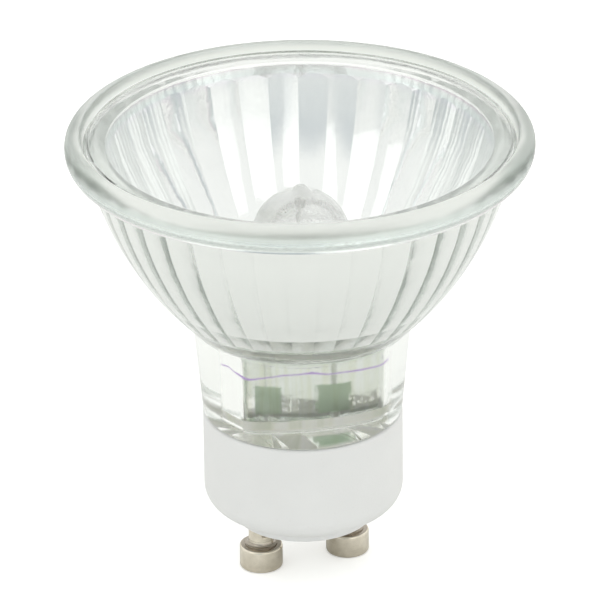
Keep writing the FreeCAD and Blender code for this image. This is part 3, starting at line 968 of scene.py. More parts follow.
@dataclass
class Reflector:
    """Pressed glass reflector: rim with its seat, faceted bowl with its film, solid neck with a slot."""

    glass: Material
    film: Material
    smear: Material
    dragged: Material
    facets: int = 39
    facet_turn: float = 6.3
    facet_bulge: float = 0.16
    columns: int = 10
    facet_rows: int = 7
    facet_ratio: float = 0.95
    stepped_rows: int = 3
    facet_curve: float = 35.2
    facet_top: float = 47.25
    film_top: float = 48.9
    film_wander: float = 0.4
    film_seed: float = 4.0
    film_raggedness: float = 450.0
    bowl_beyond: float = 13.352
    bowl_centre: float = 56.231
    bowl_curve: float = 37.0
    bowl_steps: int = 24
    rim_blend: float = 0.5
    neck_blend: float = 1.0
    blend_search: float = 4.0
    blend_steps: int = 6
    bowl_end: float = 0.75
    neck: float = 11.75
    neck_steps: int = 6
    foot: float = 10.8
    foot_rounding: float = 0.4
    foot_steps: int = 5
    foot_gap: float = 0.04
    rim: float = 24.99
    rim_lower: float = 1.85
    lower_steps: int = 12
    rim_upper: float = 1.4
    upper_steps: int = 10
    lip: float = 23.3
    lip_rounding: float = 0.25
    lip_steps: int = 5
    seat_radius: float = 22.95
    opening: float = 20.65
    opening_narrowing: float = 0.4
    slot_length: float = 11.64
    slot_width: float = 4.44
    slot_corner: float = 1.0
    slot_rounding: float = 0.35
    slot_easing: float = 0.3
    slot_steps: int = 8
    slot_sharp: float = 40.0
    climb: float = 19.65
    climb_waves: Waves = ((1, math.pi, 0.26), (9, 0.4, 0.05), (27, 1.3, 0.03))
    tide: float = 25.5
    tide_waves: Waves = ((3, 0.6, 0.26), (8, 1.9, 0.14), (21, 0.3, 0.08))
    tide_width: float = 0.16
    tide_fade: Waves = ((5, 0.2, 0.07), (14, 1.1, 0.05))
    smear_waves: Waves = ((6, 1.1, 0.5), (13, 0.2, 0.35), (31, 2.2, 0.3))
    smear_level: float = 0.1

    def build(self) -> None:
        """Makes the piece."""
        wedge = self.wedge_object()
        values = {"Count": self.facets, "Wander": self.film_wander * MM, "Seed": self.film_seed}
        self.ring_tree().run(wedge, values | {"Glass": self.glass, "Film": self.film})
        mesh = self.close_neck(plain_mesh(wedge, "reflector_ring"))
        piece = new_piece("pressed_reflector", mesh, (self.glass, self.film, self.smear, self.dragged))
        seat_piece(piece, ("reflector",))

    @property
    def pitch(self) -> float:
        """Angle from one facet to the next, in radians."""
        return FULL_TURN / self.facets

    @property
    def foot_low(self) -> float:
        """Height of the foot."""
        return LEVELS.base_top + self.foot_gap

    def angle_at(self, height: float) -> float:
        """Angle in radians on the facets' arc at a height."""
        return math.asin((self.bowl_centre - height) / self.facet_curve)

    def sections(self) -> list[Flat]:
        """Ends of the rows of facets.

        Returns:
            Cusp radius and height of each, from the seat down to the floor.
        """
        top, last = self.angle_at(self.facet_top), self.angle_at(LEVELS.floor)
        shares = [self.facet_ratio**row for row in range(self.facet_rows)]
        ends = [sum(shares[: row + 1]) / sum(shares) for row in range(self.facet_rows)]
        angles = [self.angle_at(LEVELS.seat)] + [top + (last - top) * end for end in ends]
        hub = (-self.bowl_beyond, self.bowl_centre)
        return [spin(self.facet_curve, -angle, hub) for angle in angles]

    def bulged(self, cusp: float, share: float) -> float:
        """Radius of a facet that bulges inwards between its cusps.

        Args:
            cusp: radius at the cusps.
            share: place across the facet, from 0 to 1.

        Returns:
            The radius there.
        """
        middle = cusp * (1 - self.facet_bulge / self.sections()[0][0])
        centre = (cusp**2 - middle**2) / (2 * (cusp * math.cos(self.pitch / 2) - middle))
        turn = (share - 0.5) * self.pitch
        return centre * math.cos(turn) - math.sqrt((centre - middle) ** 2 - (centre * math.sin(turn)) ** 2)

    def arch(self, share: float) -> Flat:
        """Radius and height where a facet runs out into the plain opening under the seat.

        Args:
            share: place across the facet, from 0 to 1.

        Returns:
            Radius and height.
        """
        (top_cusp, top), (low_cusp, low) = self.sections()[:2]
        below, above = low, top
        for _ in range(HALVINGS):
            height = (below + above) / 2
            cusp = low_cusp + (top_cusp - low_cusp) * (height - low) / (top - low)
            if self.bulged(cusp, share) < self.opening_at(height):
                below = height
            else:
                above = height
        return self.opening_at(below), below

    def opening_at(self, height: float) -> float:
        """Radius of the plain opening under the seat at a height."""
        share = (LEVELS.seat - height) / (LEVELS.seat - LEVELS.floor)
        return self.opening - self.opening_narrowing * share

    def outside(self) -> list[RowPoint]:
        """Outline that doesn't change round the axis.

        Returns:
            Its rows, from the seat over the rim to the foot.
        """
        top, lip, upper, lower = LEVELS.rim_top, self.lip_rounding, self.rim_upper, self.rim_lower
        points = arc((self.lip + lip, top - lip), lip, 180, 90, self.lip_steps)
        points += arc((self.rim - upper, top - upper), upper, 90, 0, self.upper_steps)
        points += arc((self.rim - lower, LEVELS.rim_low + lower), lower, 0, -90, self.lower_steps)
        points += self.bowl_outside()
        easing = self.foot_rounding
        points += arc((self.foot - easing, self.foot_low + easing), easing, 0, -90, self.foot_steps)
        rows = [RowPoint(radius, LEVELS.seat, True) for radius in (self.opening, self.seat_radius)]
        rows += [RowPoint(*point) for point in points[:-1]]
        return [*rows, RowPoint(*points[-1], True)]

    def bowl_outside(self) -> list[Flat]:
        """Outline of the bowl's outside with its two blends.

        Returns:
            Its points, from the rim down to the neck.
        """
        points = self.blend_at_rim(self.rim_blend, LEVELS.rim_low)
        ends = (points[-1][1], LEVELS.neck_top + self.bowl_end)
        first, last = (math.asin((self.bowl_centre - height) / self.bowl_curve) for height in ends)
        hub = (-self.bowl_beyond, self.bowl_centre)
        for step in range(1, self.bowl_steps):
            points.append(spin(self.bowl_curve, -(first + (last - first) * step / self.bowl_steps), hub))
        points += self.blend_at_neck(self.neck_blend, LEVELS.neck_top)
        start, end = points[-1], (self.foot, self.foot_low + self.foot_rounding)
        return points + [between(start, end, step / self.neck_steps) for step in range(1, self.neck_steps)]

    def blend_at_rim(self, radius: float, height: float) -> list[Flat]:
        """Hollow rounding where the bowl meets the rim.

        Args:
            radius: radius of the rounding.
            height: height of the corner.

        Returns:
            Its points, from the upper to the lower end.
        """
        drop = self.bowl_centre - (height - radius)
        reach = math.sqrt((self.bowl_curve + radius) ** 2 - drop**2) - self.bowl_beyond
        inward = math.degrees(math.atan2(drop, -self.bowl_beyond - reach))
        return arc((reach, height - radius), radius, 90, inward, self.blend_steps)

    def blend_at_neck(self, radius: float, height: float) -> list[Flat]:
        """Hollow rounding where the bowl meets the neck.

        Args:
            radius: radius of the rounding.
            height: height of the corner.

        Returns:
            Its points, from the upper to the lower end.
        """
        slope = math.atan2(self.neck - self.foot, height - LEVELS.base_top - self.foot_rounding)
        away = Vector((math.cos(slope), -math.sin(slope)))
        along = Vector((math.sin(slope), math.cos(slope)))
        start = Vector((self.neck, height)) + away * radius
        hub = Vector((-self.bowl_beyond, self.bowl_centre))
        near, far = -self.blend_search, self.blend_search
        for _ in range(HALVINGS):
            middle = (near + far) / 2
            if (start + along * middle - hub).length > self.bowl_curve + radius:
                near = middle
            else:
                far = middle
        centre = start + along * near
        first, last = (math.degrees(math.atan2(way.y, way.x)) for way in (hub - centre, -away))
        return arc((centre.x, centre.y), radius, first, last, self.blend_steps)

    def wedge_object(self) -> bpy.types.Object:
        """One facet's share of the reflector, from the bowl's floor over the rim to the foot.

        Returns:
            The object, with its film marked by attributes and its sharp edges set.
        """
        shares = [column / self.columns for column in range(self.columns + 1)]
        width = len(shares)
        rows = [
            [RowPoint(self.bulged(cusp, share), height, number < self.stepped_rows) for share in shares]
            for number, (cusp, height) in enumerate(reversed(self.sections()[1:]))
        ]
        pressed, filmed = len(rows), len(rows) + 1
        rows.append([RowPoint(*self.arch(share), True) for share in shares])
        rows.append([RowPoint(self.opening_at(self.film_top), self.film_top)] * width)
        rows += [[point] * width for point in self.outside()]
        start = math.radians(self.facet_turn)
        places = [
            (*spin(point.radius, start + self.pitch * share), point.height)
            for row in rows
            for share, point in zip(shares, row)
        ]
        corners = [row * width + column for row in range(len(rows) - 1) for column in range(self.columns)]
        faces = [(corner, corner + 1, corner + 1 + width, corner + width) for corner in corners]
        mesh = bpy.data.meshes.new("reflector_wedge")
        mesh.from_pydata([Vector(place) * MM for place in places], [], faces)
        flags = {
            ("coated", "FACE"): [corner // width < filmed for corner in corners],
            ("film_edge", "POINT"): [index // width == filmed for index in range(len(places))],
        }
        for (name, domain), values in flags.items():
            mesh.attributes.new(name, "BOOLEAN", domain).data.foreach_set("value", values)
        for edge in mesh.edges:
            (row, column), (other_row, other_column) = (divmod(vertex, width) for vertex in edge.vertices)
            level = row == other_row and rows[row][0].sharp
            cusp = column == other_column and column in (0, self.columns) and max(row, other_row) <= pressed
            edge.use_edge_sharp = level or cusp
        return link_object("reflector_wedge", mesh)

    def ring_tree(self) -> GeometryTree:
        """Repeats the wedge round the axis, frays the film's edge and gives it its own material.

        Returns:
            The tree.
        """
        tree = GeometryTree.start(
            "facet_ring", Count="Int", Wander="Float", Seed="Float", Glass="Material", Film="Material"
        )
        given = tree.add("NodeGroupInput").outputs
        step = tree.math("DIVIDE", FULL_TURN, given["Count"])
        turn = tree.math("MULTIPLY", tree.get("GeometryNodeInputIndex"), step)
        turned = tree.get("FunctionNodeEulerToRotation", tree.get("ShaderNodeCombineXYZ", Z=turn))
        points = tree.get("GeometryNodePoints", Count=given["Count"])
        kind = "GeometryNodeInstanceOnPoints"
        repeat = tree.get(kind, Points=points, Instance=given["Geometry"], Rotation=turned)
        real = tree.get("GeometryNodeRealizeInstances", repeat)
        merged = tree.get("GeometryNodeMergeByDistance", real, Distance=MERGE * MM)
        position = tree.get("GeometryNodeInputPosition")
        noise = tree.noise(position, self.film_raggedness, 3.0, noise_dimensions="4D", W=given["Seed"])
        climb = tree.math("MULTIPLY", tree.math("SUBTRACT", noise, 0.5), given["Wander"])
        rise = tree.get("ShaderNodeCombineXYZ", Z=climb)
        ragged = tree.get("GeometryNodeSetPosition", merged, Selection=tree.flag("film_edge"), Offset=rise)
        kind = "GeometryNodeSetMaterial"
        plain = tree.get(kind, ragged, Material=given["Glass"])
        filmed = tree.get(kind, plain, Selection=tree.flag("coated"), Material=given["Film"])
        tree.add("NodeGroupOutput", filmed)
        return tree

    def slot_wall(self, draft: MeshDraft) -> tuple[list[int], list[int]]:
        """Draws the slot's wall: rounded edges, the film's tide line and the cement's edge.

        Args:
            draft: draft to add to.

        Returns:
            Its loops at the bowl's floor and at the foot.
        """
        rounding, low, floor = self.slot_rounding, self.foot_low, LEVELS.floor
        eased = rounding * self.slot_easing
        rows: list[tuple[float, float, Waves, Slot]] = [
            (rounding, floor, (), Slot.FILM),
            (eased, floor - eased, (), Slot.FILM),
            (0.0, floor - rounding, (), Slot.DRAGGED),
            (0.0, self.tide, self.tide_waves, Slot.FILM),
            (0.0, self.tide - self.tide_width, self.tide_waves + self.tide_fade, Slot.DRAGGED),
            (0.0, self.climb, self.climb_waves, Slot.SMEAR),
            (0.0, low + rounding, (), Slot.GLASS),
            (eased, low + eased, (), Slot.GLASS),
            (rounding, low, (), Slot.GLASS),
        ]
        loops = []
        for wider, height, wander, _ in rows:
            length, width = self.slot_length + 2 * wider, self.slot_width + 2 * wider
            outline = rounded_outline(length, width, self.slot_corner + wider, self.slot_steps)
            loops.append(draft.loop((x, y, height + waves(math.atan2(y, x), wander)) for x, y in outline))
        for upper, lower, (*_, slot) in zip(loops, loops[1:], rows):
            draft.bridge(upper, lower, slot)
        return loops[0], loops[-1]

    def close_neck(self, ring: Mesh) -> Mesh:
        """Closes the ring with the bowl's floor, the slot and the foot.

        Args:
            ring: mesh of the repeated wedge.

        Returns:
            The closed mesh.
        """
        draft = MeshDraft()
        cusp = self.sections()[-1][0]
        shares = [column / self.columns for _ in range(self.facets) for column in range(self.columns)]
        start = math.radians(self.facet_turn)
        turns = [start + self.pitch * (index // self.columns + share) for index, share in enumerate(shares)]
        floor_rim = [spin(self.bulged(cusp, share), turn) for share, turn in zip(shares, turns)]
        foot_rim = [spin(self.foot - self.foot_rounding, turn) for turn in turns]
        upper, lower = self.slot_wall(draft)
        draft.plate(draft.level(floor_rim, LEVELS.floor), [upper], Slot.FILM)
        pressed_out = len(draft.faces)
        draft.plate(draft.level(foot_rim, self.foot_low), [lower], Slot.GLASS)
        for number in range(pressed_out, len(draft.faces)):
            x, y = (sum(draft.places[corner][axis] for corner in draft.faces[number]) for axis in (0, 1))
            if waves(math.atan2(y, x), self.smear_waves) > self.smear_level:
                draft.slots[number] = int(Slot.SMEAR)
        neck = draft.mesh("reflector_neck")
        neck.set_sharp_from_angle(angle=math.radians(self.slot_sharp))
        film = ring.materials.find(self.film.name)
        work = bmesh.new()
        work.from_mesh(ring)
        for face in work.faces:
            face.material_index = Slot.FILM if face.material_index == film else Slot.GLASS
        ring.materials.clear()
        work.from_mesh(neck)
        bmesh.ops.remove_doubles(work, verts=work.verts, dist=2 * MERGE * MM)
        bmesh.ops.recalc_face_normals(work, faces=work.faces)
        for face in work.faces:
            face.smooth = True
        work.to_mesh(ring)
        work.free()
        bpy.data.meshes.remove(neck)
        return ring


@dataclass
class Front:
    """Flat cover glass and the bead of adhesive that holds it."""

    glass: Material
    seal: Material
    radius: float = 22.65
    thickness: float = 1.1
    bevel: float = 0.15
    disc_sharp: float = 20.0
    bead_sharp: float = 40.0
    bead_inner: float = 21.75
    bead_wander: float = 0.35
    bead_waves: Waves = ((3, 0.4, 0.45), (7, 2.1, 0.3), (13, 0.9, 0.2), (29, 1.7, 0.15))
    bead_rise: float = 0.75
    bead_outer: float = 22.95
    bead_evenness: float = 0.8
    bead_phase: float = 1.0
    bead_flare: float = 0.08
    bead_lean: float = 0.02
    bead_edge: float = 0.1
    air: float = 0.006
    steps: int = 256

    def build(self) -> None:
        """Makes the cover glass and its bead."""
        low, top = LEVELS.glass_low, LEVELS.glass_low + self.thickness
        edge = self.radius - self.bevel
        outline = [(0.0, low), (edge, low), (self.radius, low + self.bevel)]
        outline += [(self.radius, top - self.bevel), (edge, top), (0.0, top)]
        disc = turned_draft(outline, self.steps)
        seat_draft(disc, "cover_disc", self.glass, self.disc_sharp, "front_glass")
        seat_draft(self.bead(), "adhesive_bead", self.seal, self.bead_sharp, "front_glass_bond")

    def bead(self) -> MeshDraft:
        """Draws the adhesive, pressed thin under the disc and risen round its edge.

        Returns:
            The draft.
        """
        draft = MeshDraft()
        low, high = LEVELS.seat + self.air, LEVELS.glass_low - self.air
        wall, outer = self.radius + self.air, self.bead_outer - self.air
        sections = []
        for step in range(self.steps):
            turn = FULL_TURN * step / self.steps
            inner = self.bead_inner + self.bead_wander * waves(turn, self.bead_waves)
            swell = (1 - self.bead_evenness) * waves(2 * turn + self.bead_phase, self.bead_waves)
            rise = LEVELS.seat + self.bead_rise * (self.bead_evenness + swell)
            section = [(inner, low), (outer, low), (outer + self.bead_flare, rise - self.bead_edge)]
            section += [(wall + self.bead_lean, rise), (wall, high + self.bead_edge), (inner, high)]
            sections.append([(*spin(reach, turn), height) for reach, height in section])
        rings = [draft.loop(ring) for ring in zip(*sections)]
        draft.skin([*rings, rings[0]])
        return draft


@dataclass
class Capsule:
    """Quartz capsule: bulb with its exhaust tip, and the flat pinch that seals the foils."""

    quartz: Material
    radius: float = 5.3
    wall: float = 1.0
    low: float = 30.7
    shoulder: float = 3.0
    shoulder_steps: int = 14
    side: float = 4.3
    floor: float = 1.5
    floor_turns: tuple[float, ...] = (0.15, 0.5, 0.85, 1.2, math.pi / 2)
    dome_steps: int = 14
    hollow_end: float = 84.0
    tip_radius: float = 0.9
    tip_margin: float = 4.0
    tip: tuple[Flat, ...] = ((1.05, 0.08), (0.88, 0.3), (0.7, 0.55), (0.4, 0.78), (0.15, 0.86))
    pinch_length: float = 10.4
    pinch_width: float = 2.8
    pinch_edge: tuple[Place, ...] = ((0.25, 7, 0.0), (0.05, 8, 0.1), (0.0, 8, 0.3))
    pinch_steps: int = 9
    squareness: float = 8.0
    sharp: float = 35.0
    steps: int = 128

    def build(self) -> None:
        """Makes the capsule."""
        draft = MeshDraft()
        for shell in (self.outer_loops(), self.inner_loops()):
            loops = [draft.loop(points) for points in shell]
            draft.skin(loops)
            draft.cap(loops[0])
            draft.cap(loops[-1])
        seat_draft(draft, "quartz_capsule", self.quartz, self.sharp, "capsule_envelope")

    @property
    def side_top(self) -> float:
        """Height where the bulb's straight side ends."""
        return self.low + self.shoulder + self.side

    def section(self, half_length: float, half_width: float, power: float, height: float) -> list[Place]:
        """Level loop between a rounded box and an ellipse.

        Args:
            half_length: reach along X.
            half_width: reach along Y.
            power: 2 for an ellipse, more for squarer corners.
            height: its height.

        Returns:
            The points.
        """
        return [
            (
                half_length * math.copysign(abs(x) ** (2 / power), x),
                half_width * math.copysign(abs(y) ** (2 / power), y),
                height,
            )
            for x, y in circle(1.0, self.steps)
        ]

    def outer_loops(self) -> list[list[Place]]:
        """Draws the capsule's outside.

        Returns:
            Its loops, from the pinch up to the tip.
        """
        length, width = self.pinch_length / 2, self.pinch_width / 2
        bottom, square = LEVELS.pinch_low, self.squareness
        loops = [
            self.section(length - inset, width - inset, power, bottom + lift)
            for inset, power, lift in self.pinch_edge
        ]
        start = bottom + self.pinch_edge[-1][2]
        for step in range(1, self.pinch_steps + 1):
            height = start + (self.low - start) * step / self.pinch_steps
            loops.append(self.section(length, width, square, height))
        curve = (self.radius**2 + self.shoulder**2) / (2 * self.shoulder)
        for step in range(1, self.shoulder_steps + 1):
            share = step / self.shoulder_steps
            lift = self.shoulder * share**2
            swell = math.sqrt(curve**2 - (curve - lift) ** 2)
            power = 2 + (square - 2) * (1 - share) ** 2
            loops.append(self.section(max(length, swell), max(width, swell), power, self.low + lift))
        tip_low = math.sqrt(self.radius**2 - self.tip_radius**2)
        last = math.degrees(math.asin(tip_low / self.radius)) - self.tip_margin
        dome = arc((0.0, self.side_top), self.radius, 0, last, self.dome_steps)
        dome += [(reach, self.side_top + tip_low + lift) for reach, lift in self.tip]
        return loops + [self.section(reach, reach, 2, height) for reach, height in dome]

    def inner_loops(self) -> list[list[Place]]:
        """Draws the bulb's hollow.

        Returns:
            Its loops, from its floor up.
        """
        inner, rise = self.radius - self.wall, self.shoulder - self.floor
        side_low = self.low + self.shoulder
        outline = [(inner * math.sin(turn), side_low - rise * math.cos(turn)) for turn in self.floor_turns]
        outline += arc((0.0, self.side_top), inner, 0, self.hollow_end, self.dome_steps)
        return [[(*flat, height) for flat in circle(reach, self.steps)] for reach, height in outline]


@dataclass
class Wiring:
    """Coil, its hook, the leads and the foils."""

    coil_metal: Material
    wire_metal: Material
    foil_metal: Material
    spacing: float = 4.6
    coil_low: float = 34.1
    coil_turn: float = 38.6
    bend_steps: int = 24
    coil_radius: float = 0.3
    coil_wire: float = 0.03
    coil_pitch: float = 0.24
    coil_points: int = 1500
    wire_sides: int = 6
    foil_low: float = 19.8
    foil_width: float = 2.15
    foil_height: float = 3.4
    foil_thickness: float = 0.06
    foil_thinning: float = 0.75
    foil_buckle: float = 0.03
    foil_wave: Flat = (2.0, 5.0)
    foil_columns: int = 12
    foil_rows: int = 16
    foil_sharp: float = 50.0

    def build(self) -> None:
        """Makes the coil and the foils."""
        self.coil()
        for side in Side:
            self.foil(side)

    def dress(self) -> None:
        """Dresses the hook and the leads."""
        dress_node("filament_support", self.wire_metal)
        for part in ("inner", "outer"):
            for side in Side:
                dress_node(f"{part}_lead_{side.word}", self.wire_metal)

    def coil(self) -> None:
        """Makes the coil from one helix that follows the filament's bent line."""
        reach = self.spacing / 2
        line = [(-reach, self.coil_low), *arc((0.0, self.coil_turn), reach, 180, 0, self.bend_steps)]
        line.append((reach, self.coil_low))
        path = bpy.data.curves.new("coil_line", "CURVE")
        path.dimensions = "3D"
        spline = path.splines.new("POLY")
        spline.points.add(len(line) - 1)
        for point, (x, z) in zip(spline.points, line):
            point.co = (x * MM, 0.0, z * MM, 1.0)
        source = link_object("coil_line", path)
        sizes = (self.coil_pitch, self.coil_radius - self.coil_wire, self.coil_wire)
        values = {name: size * MM for name, size in zip(("Pitch", "Radius", "Wire"), sizes)}
        self.coil_tree().run(source, values | {"Material": self.coil_metal})
        mesh = plain_mesh(source, "coil_turns")
        seat_piece(new_piece("coil_turns", mesh, (self.coil_metal,)), ("filament",))

    def coil_tree(self) -> GeometryTree:
        """Winds a wire round a line.

        Returns:
            The tree.
        """
        tree = GeometryTree.start(
            "wound_coil", Pitch="Float", Radius="Float", Wire="Float", Material="Material"
        )
        given = tree.add("NodeGroupInput").outputs
        fine = tree.get("GeometryNodeResampleCurve", given["Geometry"], Count=self.coil_points)
        length = tree.add("GeometryNodeSplineParameter").outputs["Length"]
        turns = tree.math("MULTIPLY", tree.math("DIVIDE", length, given["Pitch"]), FULL_TURN)
        across = tree.vector("CROSS_PRODUCT", tree.get("GeometryNodeInputTangent"), (0.0, 1.0, 0.0))
        level = tree.vector("SCALE", across, Scale=tree.math("COSINE", turns))
        upright = tree.get("ShaderNodeCombineXYZ", Y=tree.math("SINE", turns))
        offset = tree.vector("SCALE", tree.vector("ADD", level, upright), Scale=given["Radius"])
        wound = tree.get("GeometryNodeSetPosition", fine, Offset=offset)
        ring = tree.get("GeometryNodeCurvePrimitiveCircle", Resolution=self.wire_sides, Radius=given["Wire"])
        tube = tree.get("GeometryNodeCurveToMesh", wound, Profile_Curve=ring, Fill_Caps=True)
        real = tree.get("GeometryNodeRealizeInstances", tube)
        tree.add("NodeGroupOutput", tree.get("GeometryNodeSetMaterial", real, Material=given["Material"]))
        return tree

    def foil_point(self, side: Side, face: int, column: int, row: int) -> Place:
        """Point of a foil, thin at its etched edges and faintly buckled.

        Args:
            side: which side the foil stands on.
            face: 1 for its back, -1 for its front.
            column: step across it.
            row: step up it.

        Returns:
            The point.
        """
        across, up = 2 * column / self.foil_columns - 1, row / self.foil_rows
        thick = self.foil_thickness / 2 * (1 - self.foil_thinning * across**4)
        along_x, along_z = self.foil_wave
        buckle = self.foil_buckle * math.sin(along_z * up + along_x * across + side.value)
        x = side.value * self.spacing / 2 + across * self.foil_width / 2
        return x, face * thick + buckle, self.foil_low + up * self.foil_height

    def foil(self, side: Side) -> None:
        """Makes one foil.

        Args:
            side: which side it stands on.
        """
        draft = MeshDraft()
        columns = range(self.foil_columns + 1)
        rims = []
        for face in (1, -1):
            grid = [
                draft.loop(self.foil_point(side, face, column, row) for column in columns)
                for row in range(self.foil_rows + 1)
            ]
            for lower, upper in zip(grid, grid[1:]):
                for left, right in zip(columns, columns[1:]):
                    draft.face((lower[left], lower[right], upper[right], upper[left]))
            right_side = [line[-1] for line in grid[1:]]
            left_side = [line[0] for line in grid[-2:0:-1]]
            rims.append(grid[0] + right_side + grid[-1][-2::-1] + left_side)
        draft.bridge(*rims)
        name = f"sealed_foil_{side.word}"
        seat_draft(draft, name, self.foil_metal, self.foil_sharp, f"foil_{side.word}")


@dataclass
class Base:
    """Ceramic cup with its bevel, and the cement in it."""

    ceramic: Material
    cement: Material
    radius: float = 10.8
    bore: float = 8.4
    bore_rounding: float = 0.2
    end_radius: float = 7.6
    end_band: float = 0.6
    bevel_angle: float = 60.0
    corner: float = 2.4
    corner_steps: int = 12
    side_rings: tuple[float, ...] = (0.25, 0.5, 0.75)
    rim_rounding: float = 0.35
    rim_steps: int = 6
    edge: float = 0.12
    edge_steps: int = 4
    sharp: float = 32.0
    pin_hole: float = 1.4
    hole_steps: int = 48
    steps: int = 192

    def build(self) -> None:
        """Makes the cup."""
        draft = MeshDraft()
        loops = [draft.level(circle(reach, self.steps), height) for reach, height in self.outline()]
        draft.skin(loops)
        ends = []
        for height, loop in ((LEVELS.base_low, loops[0]), (LEVELS.base_floor, loops[-1])):
            centres = [(side.value * LEVELS.pin_spacing / 2, 0.0) for side in Side]
            ends.append([draft.level(circle(self.pin_hole, self.hole_steps, c), height) for c in centres])
            draft.plate(loop, ends[-1])
        for lower, upper in zip(*ends):
            draft.bridge(lower, upper)
        seat_draft(draft, "ceramic_cup", self.ceramic, self.sharp, "ceramic_base")

    def dress(self) -> None:
        """Dresses the cement."""
        dress_node("base_cement", self.cement)

    def outline(self) -> list[Flat]:
        """Outline of the cup.

        Returns:
            Its points, from the end round the outside and down the bore to the floor.
        """
        low, top, edge = LEVELS.base_low, LEVELS.base_top, self.edge
        angle = math.radians(self.bevel_angle)
        bevel_radius = self.radius - self.corner + self.corner * math.cos(angle)
        bevel_top = low + self.end_band + (bevel_radius - self.end_radius) / math.tan(angle)
        hub = (self.radius - self.corner, bevel_top + self.corner * math.sin(angle))
        points = [(self.end_radius - edge, low)]
        points += arc((self.end_radius - edge, low + edge), edge, -90, 0, self.edge_steps)[1:]
        points.append((self.end_radius, low + self.end_band))
        points += arc(hub, self.corner, -self.bevel_angle, 0, self.corner_steps)
        points += [(self.radius, hub[1] + (top - hub[1]) * share) for share in self.side_rings]
        rounding, easing = self.rim_rounding, self.bore_rounding
        points += arc((self.radius - rounding, top - rounding), rounding, 0, 90, self.rim_steps)
        points += arc((self.bore + easing, top - easing), easing, 90, 180, self.edge_steps)
        return [*points, (self.bore, LEVELS.base_floor)]


@dataclass
class Pin:
    """One turned contact pin with its head, collar, shank and crimp mark."""

    side: Side
    metal: Material
    head: float = 2.35
    head_height: float = 2.6
    head_rings: tuple[float, ...] = (0.9, 1.7)
    end_rings: tuple[float, ...] = (0.0, 0.6, 1.3)
    bevel: float = 0.25
    bevel_steps: int = 5
    sharp: float = 28.0
    collar: float = 1.75
    collar_band: float = 0.12
    collar_height: float = 0.55
    collar_hollow: float = 0.4
    hollow_steps: int = 6
    shank: float = 1.35
    shank_rings: int = 28
    shank_step: float = 0.1
    flange: float = 2.1
    flange_height: float = 0.6
    crimp_height: float = 4.3
    crimp_radius: float = 0.5
    crimp_depth: float = 0.3
    steps: int = 96

    def build(self) -> None:
        """Makes the pin."""
        centre = self.side.value * LEVELS.pin_spacing / 2
        draft = turned_draft(self.outline(), self.steps, (centre, 0.0))
        draft.places = [self.crimped(place, centre) for place in draft.places]
        word = self.side.word
        seat_draft(draft, f"turned_pin_{word}", self.metal, self.sharp, f"contact_pin_{word}")

    def outline(self) -> list[Flat]:
        """Outline of the pin.

        Returns:
            Its points, from the axis at the end up to the flange.
        """
        bevel, top, floor = self.bevel, self.head_height, LEVELS.base_floor
        points = [(reach, 0.0) for reach in self.end_rings]
        points += arc((self.head - bevel, bevel), bevel, -90, 0, self.bevel_steps)
        points += [(self.head, height) for height in self.head_rings]
        points += arc((self.head - bevel, top - bevel), bevel, 0, 90, self.bevel_steps)
        points += [(self.collar, top), (self.collar, top + self.collar_band)]
        rise = top + self.collar_height
        points += arc((self.collar, rise), self.collar_hollow, -90, -180, self.hollow_steps)
        points += [(self.shank, rise + self.shank_step * (step + 1)) for step in range(self.shank_rings)]
        points += [(self.shank, floor), (self.flange, floor)]
        return points + [(reach, floor + self.flange_height) for reach in (self.flange, 0.0)]

    def crimped(self, place: Place, centre: float) -> Place:
        """Pushes a point of the shank in where the crimp tool struck.

        Args:
            place: the point.
            centre: place of the pin's axis along X.

        Returns:
            The pushed point.
        """
        x, y, z = place
        away = math.hypot(x - centre, z - self.crimp_height)
        if y >= 0 or away >= self.crimp_radius:
            return place
        return x, y + self.crimp_depth * (1 - (away / self.crimp_radius) ** 2), z


# Stage


def direction(azimuth: float, elevation: float) -> Vector:
    """Unit vector from the lamp towards an azimuth, 0 in front, and an elevation in degrees."""
    turn, rise = math.radians(azimuth), math.radians(elevation)
    return Vector((math.sin(turn) * math.cos(rise), -math.cos(turn) * math.cos(rise), math.sin(rise)))


@dataclass
class Softbox:
    """Soft rectangular lamp aimed at the bulb, with sizes in metres."""

    name: str
    azimuth: float
    elevation: float
    size: Flat
    distance: float = 0.8
    radiance: float = 0.3

    def build(self, aim: Vector) -> None:
        """Makes the lamp.

        Args:
            aim: point it faces.
        """
        lamp = bpy.data.lights.new(self.name, "AREA")
        lamp.shape = "RECTANGLE"
        lamp.size, lamp.size_y = self.size
        lamp.energy = self.radiance * math.pi * self.size[0] * self.size[1]
        away = direction(self.azimuth, self.elevation)
        box = link_object(self.name, lamp)
        box.location = aim + away * self.distance
        box.rotation_euler = away.to_track_quat("Z", "Y").to_euler()
        box.visible_camera = False


